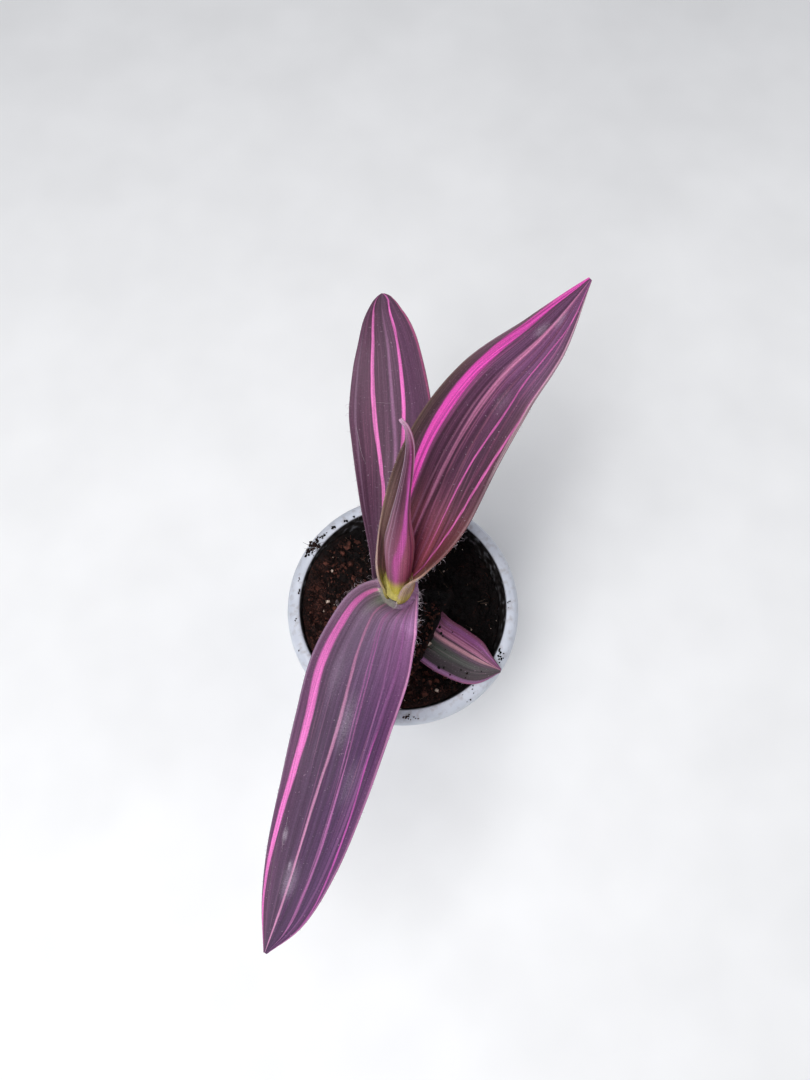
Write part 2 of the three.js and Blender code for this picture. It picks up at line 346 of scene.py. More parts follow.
peat_outline = (
    [(0, FLOOR_TOP + GAP), (inner_wall(3) - 2, FLOOR_TOP + GAP)]
    + [(inner_wall(5) - GAP, 5), (inner_wall(30) - GAP, 30)]
    + [
        (peat_edge + (COLLAR_RADIUS - peat_edge) * i / PEAT_RINGS, SOIL_LEVEL)
        for i in range(PEAT_RINGS + 1)
    ]
    + [(COLLAR_RADIUS - 0.7, SOIL_LEVEL - COLLAR_DEPTH / 2), (0, SOIL_LEVEL - COLLAR_DEPTH)]
)
peat = turn("peat", peat_outline, PEAT_STEPS)
for vertex in peat.data.vertices:
    if vertex.co.z > (SOIL_LEVEL - 0.1) * MM:
        top = peat_top(vertex.co.x / MM, vertex.co.y / MM)
        spread = (inner_wall(top) - GAP) / peat_edge  # follows the tapered wall
        vertex.co.xy *= spread
        vertex.co.z = top * MM


# Sphagnum peat, dug, sieved and wetted: near black, and rust brown towards the left and the
# front, partly where it dries on the heap and partly as painted light from that side, with
# painted shade darkening it to the right and the back. It is matt apart from a damp glint on
# the crumbs.
def peat_skin():
    skin = start_skin("peat_dug_moist")
    place = add(skin, "TexCoord", give="Object")
    patch = add(skin, "TexNoise", {"Vector": place, "Scale": 1 / (7 * MM), "Detail": 2}, "Fac")
    grain = add(
        skin,
        "TexNoise",
        {"Vector": place, "Scale": 1 / (0.9 * MM), "Detail": 5, "Roughness": 0.7, "Distortion": 1.2},
        "Fac",
    )
    # Painted light and shade: the peat is lightened towards the left and front and darkened towards the right
    # and back.
    toward_lit_heap = add(skin, "VectorMath", {0: place, 1: (-0.75, -0.66, 0)}, "Value", operation="DOT_PRODUCT")
    lit_and_drier = add(
        skin,
        "MapRange",
        {"Value": toward_lit_heap, "From Min": -6 * MM, "From Max": 24 * MM, "To Min": -0.1, "To Max": 0.07},
    )
    mixed = add(skin, "MapRange", {"Value": patch, "From Min": 0.35, "From Max": 0.7, "To Max": 0.12})
    level = add(skin, "Math", {0: grain, 1: mixed}, operation="ADD")
    level = add(skin, "Math", {0: level, 1: lit_and_drier}, operation="ADD")
    tone = grade(
        add(skin, "ValToRGB", {"Fac": level}),
        [(0.44, "#040202"), (0.56, "#150908"), (0.66, "#321914"), (0.8, "#633a30")],
    )
    rough = add(skin, "MapRange", {"Value": grain, "To Min": 0.6, "To Max": 1})
    bump = add(skin, "Bump", {"Height": grain, "Strength": 1, "Distance": 0.4 * MM})
    shader = add(
        skin,
        "BsdfPrincipled",
        {"Base Color": tone, "Roughness": rough, "Normal": bump, "Specular IOR Level": 0.2},
    )
    add(skin, "OutputMaterial", {"Surface": shader})
    return skin


peat_finish = peat_skin()
finish_piece(peat, [peat_finish], ["soil"])


def take_shape(model):
    """The corners and sides of a model made to be copied, which is then removed."""
    corners = [vertex.co.copy() for vertex in model.data.vertices]
    sides = [tuple(face.vertices) for face in model.data.polygons]
    bpy.data.objects.remove(model)
    return corners, sides


def grain_shape(name, subdivisions, seed):
    """One angular grain about 1 across, whose copies are strewn."""
    deselect()
    bpy.ops.mesh.primitive_ico_sphere_add(subdivisions=subdivisions, radius=0.5)
    grain = bpy.context.object
    grain.name = name
    draw = random.Random(seed)
    for vertex in grain.data.vertices:
        vertex.co *= draw.uniform(0.65, 1.25)
        vertex.co.z *= 0.75
    return take_shape(grain)


def gather(name, copies):
    """One mesh of many copies, each given by its corners and sides."""
    corners, sides = [], []
    for copy_corners, copy_sides in copies:
        first = len(corners)
        corners += copy_corners
        sides += [tuple(first + index for index in side) for side in copy_sides]
    mesh = bpy.data.meshes.new(name)
    mesh.from_pydata(corners, [], sides)
    piece = bpy.data.objects.new(name, mesh)
    bpy.context.collection.objects.link(piece)
    return piece


def strew(name, shapes, places, skin):
    """One piece of the shapes in turn, each at its own place, turn and size."""
    copies = []
    for i, place in enumerate(places):
        corners, sides = shapes[i % len(shapes)]
        copies.append(([place @ corner for corner in corners], sides))
    finish_piece(gather(name, copies), [skin])


def tumbled(place, size, draw):
    """A place for a grain that lies any way up, size in millimetres."""
    spin = Matrix.Rotation(draw.uniform(0, math.tau), 4, (draw.gauss(0, 1), draw.gauss(0, 1), 1))
    stretch = Matrix.Diagonal((size * MM, size * MM * draw.uniform(0.6, 1), size * MM, 1))
    return Matrix.Translation(place * MM) @ spin @ stretch


def on_peat(draw, inner=COLLAR_RADIUS + 0.8, outer=peat_edge - 0.6, spread=math.pi):
    """A random spot on the peat's top, within the spread from the heap's heading."""
    radius = math.sqrt(draw.uniform(inner**2, outer**2))
    angle = math.radians(HEAP_HEADING) + draw.uniform(-spread, spread)
    x, y = radius * math.cos(angle), radius * math.sin(angle)
    return Vector((x, y, peat_top(x, y)))


def on_lip(angle, radius):
    """A spot on the pot's lip, angle in degrees from +X."""
    beyond = max(0, radius - shoulder_start) / SHOULDER_WIDTH
    turned = math.radians(angle)
    height = shoulder_foot + SHOULDER_HEIGHT * math.sqrt(max(0, 1 - beyond**2))
    return Vector((radius * math.cos(turned), radius * math.sin(turned), height))


# Every finish that is plain and matt, and mottled in two tones with a grain in millimetres.
def mottled_skin(name, grain, detail, stops, finish):
    skin = start_skin(name)
    place = add(skin, "TexCoord", give="Object")
    shade = add(skin, "TexNoise", {"Vector": place, "Scale": 1 / (grain * MM), "Detail": detail}, "Fac")
    tone = grade(add(skin, "ValToRGB", {"Fac": shade}), stops)
    shader = add(skin, "BsdfPrincipled", {"Base Color": tone, **finish})
    add(skin, "OutputMaterial", {"Surface": shader})
    return skin


# Peat crumb, dried: matt rust brown in patches, paler where it has frayed.
DRIED = {"Roughness": 0.85, "Specular IOR Level": 0.2}
dried_peat = mottled_skin("peat_crumb_dried", 1.6, 3, [(0.35, "#140907"), (0.68, "#64392f")], DRIED)

# Loose bits of peat: name, grains, skin, how many, where they lie, the smallest and largest,
# and a power that makes most of them small. The dried ones lie on the heap.
HEAP_SPREAD = 1.6  # radians to each side of the heap's heading
ON_HEAP = {"inner": 9, "spread": HEAP_SPREAD}
OFF_WALL = {"outer": peat_edge - 1.5}
draw = random.Random(4)
small_grains = [grain_shape("crumb", 1, seed) for seed in range(5)]
large_grains = [grain_shape("clod", 2, seed) for seed in range(4)]
LOOSE_PEAT = [
    ("peat_crumbs", small_grains, peat_finish, 2200, {}, 0.35, 1.35, 1.3),
    ("peat_clods", large_grains, peat_finish, 130, OFF_WALL, 1.3, 2.8, 1),
    ("dry_crumbs", small_grains, dried_peat, 900, ON_HEAP, 0.3, 1.1, 1.4),
    ("dry_clods", large_grains, dried_peat, 110, {**ON_HEAP, **OFF_WALL}, 1.4, 3, 1),
]
for name, grains, skin, count, where, least, most, power in LOOSE_PEAT:
    places = [
        tumbled(on_peat(draw, **where), draw.uniform(least, most) ** power, draw) for i in range(count)
    ]
    strew(name, grains, places, skin)

# The bank over the lowest leaf's foot has dried in crumbs too.
BANK_CRUMB_COUNT = 160
bank_draw = random.Random(12)
bank_places = []
for i in range(BANK_CRUMB_COUNT):
    y = bank_draw.uniform(-22, 0)
    x = BANK_LINE[0] + BANK_SLANT * (y - BANK_LINE[1]) - bank_draw.uniform(0.5, 7)
    spot = Vector((x, y, peat_top(x, y)))
    bank_places.append(tumbled(spot, bank_draw.uniform(0.4, 1.7), bank_draw))
strew("bank_crumbs", small_grains, bank_places, dried_peat)

# Crumbs that spilt on the lip: angle, radius, how many, how far apart and how large.
LIP_SPILLS = [
    (148, 37.6, 34, 1.9, 1.5), (138.5, 37, 8, 0.8, 1.1), (132, 37.1, 6, 0.6, 1),
    (124.3, 36.4, 5, 0.5, 0.9), (118.8, 35.7, 4, 0.5, 0.8), (166, 36.6, 3, 0.5, 0.6),
    (173, 35.8, 6, 0.9, 0.8), (188, 36.7, 2, 0.3, 0.6), (204, 38.4, 2, 0.3, 0.5),
    (221, 38.8, 3, 0.9, 0.5), (273, 37.6, 12, 1.4, 0.9), (305, 36.8, 6, 1.8, 0.7),
    (332, 36.8, 14, 1.6, 0.9), (2, 36.1, 5, 1.4, 0.6),
]
spilt = []
for angle, radius, count, apart, size in LIP_SPILLS:
    for i in range(count):
        across_lip = min(max(radius + draw.gauss(0, apart / 2), mouth_radius + 0.7), rim_radius - 0.4)
        spot = on_lip(angle + draw.gauss(0, 1.4 * apart), across_lip) + Vector((0, 0, 0.15))
        spilt.append(tumbled(spot, size * draw.uniform(0.5, 1.2), draw))
strew("lip_crumbs", small_grains, spilt, peat_finish)

# Perlite, crushed: dull off-white grains, brown with peat water in their pits.
PERLITE_STOPS = [(0.35, "#6e5648"), (0.62, "#c9b6a8")]
perlite_finish = mottled_skin("perlite_crushed", 0.6, 3, PERLITE_STOPS, {"Roughness": 0.85})

# The larger grains lie where the photograph shows them: x, y and size.
PERLITE_SEEN = [
    (-14.6, 8.2, 1.6), (-26.3, 2.2, 1.5), (-27.4, -1.2, 1.3), (-25, 13, 1.0),
    (19, -8.5, 1.3), (11.5, -28.5, 1.6), (24, -7, 0.9), (21, -11, 0.8),
]
PERLITE_COUNT = 34
perlite_places = [
    tumbled(Vector((x, y, peat_top(x, y) + 0.3)), size, draw) for x, y, size in PERLITE_SEEN
]
perlite_places += [tumbled(on_peat(draw), draw.uniform(0.3, 0.8), draw) for i in range(PERLITE_COUNT)]
strew("perlite_grains", large_grains, perlite_places, perlite_finish)


# ---- Fibres and root hairs ----
# Loose sphagnum fibres and a few fine pale roots lie on the peat. Each is one
# tapered strand that bends two ways, so that it rises off the peat and dips again.
STRAND_SIDES = 3
STRAND_RINGS = 7


def strand_shape():
    """One straight strand of length 1 along Z and radius 1, to be bent as it is laid."""
    deselect()
    bpy.ops.mesh.primitive_cone_add(
        vertices=STRAND_SIDES, radius1=1, radius2=0.25, depth=1, location=(0, 0, 0.5)
    )
    strand = bpy.context.object
    bpy.ops.object.transform_apply(location=True)
    bpy.ops.object.mode_set(mode="EDIT")
    for i in range(1, STRAND_RINGS):
        bpy.ops.mesh.select_all(action="SELECT")
        bpy.ops.mesh.bisect(plane_co=(0, 0, i / STRAND_RINGS), plane_no=(0, 0, 1))
    bpy.ops.object.mode_set(mode="OBJECT")
    return take_shape(strand)


strand_corners, strand_sides = strand_shape()


def bent(root, heading, bend_axis, length, bend, sway, radius):
    """Copies the strand along an arc that leaves its root in the heading given."""
    heading = heading.normalized()
    lift = (bend_axis - heading * bend_axis.dot(heading)).normalized()
    out = heading.cross(lift)
    corners = []
    for corner in strand_corners:
        reach = corner.z
        forward = math.sin(bend * reach) / bend
        rise = (1 - math.cos(bend * reach)) / bend
        aside = sway * math.sin(3 * reach) * reach
        line = root + (heading * forward + lift * rise + out * aside) * length
        normal = lift * math.cos(bend * reach) - heading * math.sin(bend * reach)
        corners.append((line + (normal * corner.x + out * corner.y) * radius) * MM)
    return corners, strand_sides


def lying(draw, length, radius, spread=math.pi):
    """A strand that curls across the peat's top."""
    root = on_peat(draw, outer=peat_edge - length / 3, spread=spread) + Vector((0, 0, 0.15))
    heading = Vector((draw.gauss(0, 1), draw.gauss(0, 1), draw.uniform(0.1, 0.6)))
    curl_axis = Vector((draw.gauss(0, 0.8), draw.gauss(0, 0.8), -1))
    return bent(
        root, heading, curl_axis, length, draw.uniform(0.6, 3), draw.uniform(-0.4, 0.4), radius
    )


def sticking_up(draw, angle, radius):
    """A fibre that stands up from the lip."""
    root = on_lip(angle + draw.gauss(0, 3), radius + draw.gauss(0, 0.8))
    heading = Vector((draw.gauss(0, 1), draw.gauss(0, 1), draw.uniform(0, 0.8)))
    curl_axis = Vector((draw.gauss(0, 1), draw.gauss(0, 1), -1))
    return bent(root, heading, curl_axis, draw.uniform(1.5, 4), draw.uniform(0.4, 1.5), 0.1, 0.12)


FIBRE_COUNT = 200
HEAP_FIBRE_COUNT = 330
LIP_FIBRE_COUNT = 22
LIP_FIBRES = (148, 37)  # angle and radius of the spill that they stand in
ROOT_COUNT = 60
draw = random.Random(9)
fibre_copies = [lying(draw, draw.uniform(1, 4.5), draw.uniform(0.05, 0.14)) for i in range(FIBRE_COUNT)]
fibre_copies += [
    lying(draw, draw.uniform(1, 4.5), draw.uniform(0.06, 0.2), HEAP_SPREAD)
    for i in range(HEAP_FIBRE_COUNT)
]
fibre_copies += [sticking_up(draw, *LIP_FIBRES) for i in range(LIP_FIBRE_COUNT)]
fibres = gather("peat_fibres", fibre_copies)
root_copies = [lying(draw, draw.uniform(2, 7), draw.uniform(0.04, 0.07)) for i in range(ROOT_COUNT)]
root_hairs = gather("pale_roots", root_copies)

# Sphagnum stalk and fine root, dried: the one rust brown, the other straw, both matt.
stalk_finish = mottled_skin("sphagnum_fibre_dried", 1.6, 3, [(0.35, "#180b09"), (0.68, "#472820")], DRIED)
root_finish = mottled_skin("fine_root_dried", 1.6, 3, [(0.35, "#4a3a31"), (0.68, "#85705f")], DRIED)
finish_piece(fibres, [stalk_finish])
finish_piece(root_hairs, [root_finish])


# ---- Stem ----
# The shoot's short fleshy stem stands in the peat and leans a little to the front and the
# left. It is swollen where a leaf grows from it, and the leaf sheaths hide most of it.
stem_low, stem_high = (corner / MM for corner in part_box("stem"))
STEM_RADIUS = 3
NODE_SWELL = 0.12
NODE_HEIGHTS = (68.5, 80.8, 88.2)
LEAN = (-0.028, -0.037)  # travel along X and Y for each mm of height
STEM_STEPS = 48
STEM_RINGS = 60


def stem_radius(height):
    """The stem's radius at a height, a little thicker at each node."""
    swell = sum(math.exp(-(((height - node) / 1.3) ** 2)) for node in NODE_HEIGHTS)
    shoulder = max(0, (height - (stem_high.z - 2)) / 2)
    return (STEM_RADIUS - 0.05 + NODE_SWELL * swell) * math.sqrt(max(0.05, 1 - shoulder**2))


stem_heights = [
    stem_low.z + (stem_high.z - stem_low.z) * i / STEM_RINGS for i in range(STEM_RINGS + 1)
]
stem_outline = (
    [(0, stem_low.z)] + [(stem_radius(height), height) for height in stem_heights] + [(0, stem_high.z)]
)
stem = turn("stem_shoot", stem_outline, STEM_STEPS)
for vertex in stem.data.vertices:
    rise = vertex.co.z - stem_low.z * MM
    vertex.co.x += LEAN[0] * rise
    vertex.co.y += LEAN[1] * rise


def streaks(skin, place, stretch, **grain):
    """A noise that is drawn out by a scale for each axis, smallest along the streaks."""
    drawn_out = add(skin, "Mapping", {"Vector": place, "Scale": stretch})
    return add(skin, "TexNoise", {"Vector": drawn_out, **grain}, "Fac")


# Young shoot skin, grown: dull purple over green, with faint streaks along it.
def stem_skin():
    skin = start_skin("shoot_skin_grown")
    place = add(skin, "TexCoord", give="Object")
    streak = streaks(skin, place, (1, 1, 0.12), Scale=1 / (0.8 * MM), Detail=3)
    tone = grade(
        add(skin, "ValToRGB", {"Fac": streak}), [(0.3, "#54404b"), (0.55, "#6d5060"), (0.75, "#7d7360")]
    )
    bump = add(skin, "Bump", {"Height": streak, "Strength": 0.3, "Distance": 0.1 * MM})
    shader = add(skin, "BsdfPrincipled", {"Base Color": tone, "Roughness": 0.45, "Normal": bump})
    add(skin, "OutputMaterial", {"Surface": shader})
    return skin


finish_piece(stem, [stem_skin()], ["stem"])


# ---- Leaves ----
# Each leaf grew as one fleshy piece: a sheath that clasps the stem opens into a long
# pointed blade with parallel veins. Its course is a row of stations from the sheath's
# foot to the tip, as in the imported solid: x, y, z, half width, curl in degrees that
# each half turns through, and the way the upper face looks.
RIB_THICKNESS = 0.9
EDGE_THICKNESS = 0.65
TAPERED_EDGE = 0.3  # the margin's own thickness
CELLS_ACROSS = 64
CELLS_ALONG = 150
VEIN_COUNT = 15
VEIN_RELIEF = 0.025
GROOVE_DEPTH = 0.12  # the furrow over the midrib
GROOVE_WIDTH = 0.035  # as a share of half the blade
FULL_RELIEF = 6  # the half width under which veins and furrow fade
FLATTEST = 0.01  # radians of curl, because a flat row would have no radius


def spline(rows, t):
    """The smooth curve through the rows, t from 0 to 1 and even from row to row."""
    last = len(rows) - 1
    place = min(max(t, 0), 1) * last
    i = min(int(place), last - 1)
    w = place - i
    near, far = Vector(rows[i]), Vector(rows[i + 1])
    before = Vector(rows[i - 1]) if i > 0 else 2 * near - far
    after = Vector(rows[i + 2]) if i + 2 <= last else 2 * far - near
    leave, arrive = (far - before) / 2, (after - near) / 2
    bow = 3 * (far - near) - 2 * leave - arrive
    return near + leave * w + bow * w**2 + (2 * (near - far) + leave + arrive) * w**3


def leaf_row(stations, t):
    """What a row across the blade shares: midrib point, along, side, up, half width, curl."""
    step = 1e-4
    here = spline(stations, t)
    along = (spline(stations, t + step) - spline(stations, t - step))[:3]
    along = Vector(along).normalized()
    side = along.cross(Vector(here[5:8])).normalized()
    curl = math.radians(here[4])
    if abs(curl) < FLATTEST:
        curl = FLATTEST
    return Vector(here[:3]), along, side, side.cross(along), here[3], curl


def across_row(row, across):
    """The middle of the blade's thickness and its upward normal, at -1 to 1 across."""
    middle, along, side, up, half_width, curl = row
    turned = curl * across
    radius = half_width / curl
    point = middle + side * radius * math.sin(turned) + up * radius * (1 - math.cos(turned))
    return point, up * math.cos(turned) - side * math.sin(turned)


def rounded_off(row, share):
    """The same row on a blunt round tip, share 0 to 1 of the way to its end."""
    half_width = row[4] * max(0.03, math.sqrt(max(0, 1 - share**2)))
    return (*row[:4], half_width, row[5])


def grow_leaf(name, stations, round_from=1):
    """The blade as a grid laid along the stations, with veins, thickened last."""
    deselect()
    bpy.ops.mesh.primitive_grid_add(x_subdivisions=CELLS_ACROSS, y_subdivisions=CELLS_ALONG, size=2)
    leaf = bpy.context.object
    leaf.name = name
    plump = leaf.vertex_groups.new(name="plump")
    rows = {}
    for vertex in leaf.data.vertices:
        across, t = vertex.co.x, (vertex.co.y + 1) / 2
        key = round(t * CELLS_ALONG)
        if key not in rows:
            rows[key] = leaf_row(stations, key / CELLS_ALONG)
            if key / CELLS_ALONG > round_from:
                rows[key] = rounded_off(rows[key], (t - round_from) / (1 - round_from))
        point, normal = across_row(rows[key], across)
        fade = min(1, rows[key][4] / FULL_RELIEF)
        uneven = 2.4 * math.sin(5.3 * across + 0.8) + 0.7 * math.sin(17 * across)
        vein = VEIN_RELIEF * math.cos(math.pi * VEIN_COUNT * across + uneven)
        groove = -GROOVE_DEPTH * math.exp(-((across / GROOVE_WIDTH) ** 2))
        vertex.co = (point + normal * (vein + groove) * fade) * MM
        thickness = EDGE_THICKNESS + (RIB_THICKNESS - EDGE_THICKNESS) * (1 - across**2)
        if abs(across) > 1 - 1 / CELLS_ACROSS:
            thickness = TAPERED_EDGE
        thickness *= min(1, 0.35 + 0.25 * rows[key][4])  # the tip runs out thin
        plump.add([vertex.index], thickness / RIB_THICKNESS, "REPLACE")
    flesh = leaf.modifiers.new("flesh", "SOLIDIFY")
    flesh.thickness = RIB_THICKNESS * MM
    flesh.offset = 0
    flesh.vertex_group = plump.name
    flesh.material_offset = 1
    flesh.material_offset_rim = 1
    bpy.ops.object.modifier_apply(modifier=flesh.name)
    return leaf


def trace(curve, points):
    """Bends a float curve through (place, value) points."""
    mapping = curve.node.mapping
    mapping.extend = "HORIZONTAL"
    dots = mapping.curves[0].points
    dots[0].location = points[0]
    dots[-1].location = points[-1]
    for point in points[1:-1]:
        dots.new(*point)
    for dot in dots:
        dot.handle_type = "AUTO_CLAMPED"
    mapping.update()
    return curve


def as_share(across):
    """A place from -1 to 1 across the blade as the 0 to 1 of its UV map."""
    return (across + 1) / 2


# Leaf flesh, grown: full of clear sap, so light spreads a little way in it, most of all red.
FLESH = {
    "Specular IOR Level": 0.28,
    "IOR": 1.42,
    "Subsurface Weight": 0.12,
    "Subsurface Radius": (1, 0.35, 0.6),
    "Subsurface Scale": 0.6 * MM,
}


# Leaf skin, grown: fleshy and waxy, dusky purple in fine lengthwise streaks, with clear
# pink stripes where the veins run. The grounds are colours from edge to edge, and the foot
# is (colour, where it ends, where it is full). Each stripe is (colour, softness, course), and
# its course is (share of the length, place across, half its width, strength). Each patch of
# bloom and reflection, whitish wax and dust that also stand in as a painted reflection of the
# lamps, is (share of the length, place across, half its length, half its width, strength).
# The contrast is that of the streaks.
def leaf_skin(name, lower_ground, upper_ground, foot, stripes, bloom_and_reflection=(), contrast=1):
    skin = start_skin(name)
    uv = add(skin, "UVMap", give="UV")
    across = add(skin, "SeparateXYZ", {"Vector": uv}, "X")
    along = across.node.outputs["Y"]
    place = add(skin, "TexCoord", give="Object")

    streak = streaks(skin, uv, (58, 2.6, 1), Scale=1, Detail=5, Roughness=0.68, Distortion=0.3)
    fray = streaks(skin, uv, (30, 16, 1), Scale=1, Detail=3)
    cell = add(skin, "TexNoise", {"Vector": place, "Scale": 1 / (0.35 * MM), "Detail": 2}, "Fac")

    lower, upper = (
        grade(add(skin, "ValToRGB", {"Fac": across}), [(as_share(a), code) for a, code in ground])
        for ground in (lower_ground, upper_ground)
    )
    # The lower ground by the foot holds the leaf's own paler tones, and on some leaves painted light as well.
    lower_to_upper = add(
        skin, "MapRange", {"Value": along, "From Min": 0.2, "From Max": 0.55}, interpolation_type="SMOOTHSTEP"
    )
    colour = add(skin, "MixRGB", {"Fac": lower_to_upper, "Color1": lower, "Color2": upper})

    shift = add(skin, "MapRange", {"Value": fray, "To Min": -0.008, "To Max": 0.008})
    frayed = add(skin, "Math", {0: across, 1: shift}, operation="ADD")
    for code, softness, course in stripes:
        centre, half, force = (
            trace(add(skin, "FloatCurve", {"Value": along}), points)
            for points in (
                [(t, as_share(a)) for t, a, w, s in course],
                [(t, w / 2) for t, a, w, s in course],
                [(t, s) for t, a, w, s in course],
            )
        )
        offset = add(skin, "Math", {0: frayed, 1: centre}, operation="SUBTRACT")
        distance = add(skin, "Math", {0: offset}, operation="ABSOLUTE")
        outer = add(skin, "Math", {0: half, 1: 1 + softness}, operation="MULTIPLY")
        inner = add(skin, "Math", {0: half, 1: 1 - softness}, operation="MULTIPLY")
        mask = add(
            skin,
            "MapRange",
            {"Value": distance, "From Min": outer, "From Max": inner},
            interpolation_type="SMOOTHSTEP",
        )
        worn = add(skin, "MapRange", {"Value": streak, "From Min": 0.25, "From Max": 0.6, "To Min": 0.6})
        strength = add(skin, "Math", {0: mask, 1: force}, operation="MULTIPLY")
        strength = add(skin, "Math", {0: strength, 1: worn}, operation="MULTIPLY")
        colour = add(skin, "MixRGB", {"Fac": strength, "Color1": colour, "Color2": linear(code)})

    foot_code, foot_end, foot_start = foot
    footing = add(
        skin,
        "MapRange",
        {"Value": along, "From Min": foot_end, "From Max": foot_start},
        interpolation_type="SMOOTHSTEP",
    )
    colour = add(skin, "MixRGB", {"Fac": footing, "Color1": colour, "Color2": linear(foot_code)})

    sparkle = add(
        skin, "MapRange", {"Value": cell, "From Min": 0.3, "From Max": 0.7, "To Min": 0.84, "To Max": 1.16}
    )
    swing = {"To Min": 1 - 0.3 * contrast, "To Max": 1 + 0.3 * contrast}
    lengthwise = add(skin, "MapRange", {"Value": streak, "From Min": 0.3, "From Max": 0.72, **swing})
    value = add(skin, "Math", {0: sparkle, 1: lengthwise}, operation="MULTIPLY")
    band = streaks(skin, uv, (17, 1.4, 1), Scale=1, Detail=2)
    swing = {"To Min": 1 - 0.2 * contrast, "To Max": 1 + 0.2 * contrast}
    banded = add(skin, "MapRange", {"Value": band, "From Min": 0.35, "From Max": 0.65, **swing})
    value = add(skin, "Math", {0: value, 1: banded}, operation="MULTIPLY")
    colour = add(skin, "HueSaturation", {"Color": colour, "Value": value})
    veined = add(skin, "MapRange", {"Value": streak, "From Min": 0.58, "From Max": 0.72, "To Max": 0.4})
    colour = add(skin, "MixRGB", {"Fac": veined, "Color1": colour, "Color2": linear("#a0627f")})

    # Light specks, partly dust and partly painted glints off hairs and cells.
    dot = add(skin, "TexNoise", {"Vector": place, "Scale": 1 / (0.5 * MM), "Detail": 1}, "Fac")
    speck_and_glint = add(skin, "MapRange", {"Value": dot, "From Min": 0.7, "From Max": 0.8, "To Max": 0.4})
    colour = add(skin, "MixRGB", {"Fac": speck_and_glint, "Color1": colour, "Color2": linear("#c3a9bd")})
    grainy = add(skin, "MapRange", {"Value": cell, "From Min": 0.3, "From Max": 0.65, "To Min": 0.3})
    # Painted reflection and bloom: whitish patches laid where the lamps' reflection and the wax bloom show.
    for t, a, half_length, half_width, strength in bloom_and_reflection:
        apart = add(skin, "VectorMath", {0: uv, 1: (as_share(a), t, 0)}, operation="SUBTRACT")
        scale = (2 / half_width, 1 / half_length, 0)
        apart = add(skin, "VectorMath", {0: apart, 1: scale}, operation="MULTIPLY")
        distance = add(skin, "VectorMath", {0: apart}, "Value", operation="LENGTH")
        patch = add(
            skin,
            "MapRange",
            {"Value": distance, "From Min": 1, "From Max": 0, "To Max": strength},
            interpolation_type="SMOOTHSTEP",
        )
        patch = add(skin, "Math", {0: patch, 1: grainy}, operation="MULTIPLY")
        colour = add(skin, "MixRGB", {"Fac": patch, "Color1": colour, "Color2": linear("#c9bccb")})

    rough = add(skin, "MapRange", {"Value": fray, "To Min": 0.42, "To Max": 0.6})
    relief = add(skin, "Math", {0: streak, 1: 0.6}, operation="MULTIPLY")
    relief = add(skin, "Math", {0: cell, 1: 0.4, 2: relief}, operation="MULTIPLY_ADD")
    bump = add(skin, "Bump", {"Height": relief, "Strength": 0.35, "Distance": 0.12 * MM})
    shader = add(
        skin, "BsdfPrincipled", {"Base Color": colour, "Roughness": rough, "Normal": bump, **FLESH}
    )
    add(skin, "OutputMaterial", {"Surface": shader})
    return skin


# The underside of every leaf: wine purple, brown towards the sheath, and the sheath
# itself yellow-green, all in fine lengthwise streaks. The pale tones by the sheath are partly
# its own colour and partly painted light against the shade inside the crown.
def underside_skin():
    skin = start_skin("leaf_underside_grown")
    uv = add(skin, "UVMap", give="UV")
    along = add(skin, "SeparateXYZ", {"Vector": uv}, "Y")
    streak = streaks(skin, uv, (40, 3, 1), Scale=1, Detail=3)
    # Painted light: the stops by the sheath are lightened against the crown's shade.
    tone = grade(
        add(skin, "ValToRGB", {"Fac": along}),
        [(0.13, "#cabf62"), (0.21, "#cdb47c"), (0.3, "#a87a60"), (0.46, "#7d3f64")],
    )
    value = add(
        skin, "MapRange", {"Value": streak, "From Min": 0.3, "From Max": 0.7, "To Min": 0.8, "To Max": 1.2}
    )
    colour = add(skin, "HueSaturation", {"Color": tone, "Value": value})
    bump = add(skin, "Bump", {"Height": streak, "Strength": 0.3, "Distance": 0.12 * MM})
    shader = add(
        skin, "BsdfPrincipled", {"Base Color": colour, "Roughness": 0.5, "Normal": bump, **FLESH}
    )
    add(skin, "OutputMaterial", {"Surface": shader})
    return skin


underside = underside_skin()


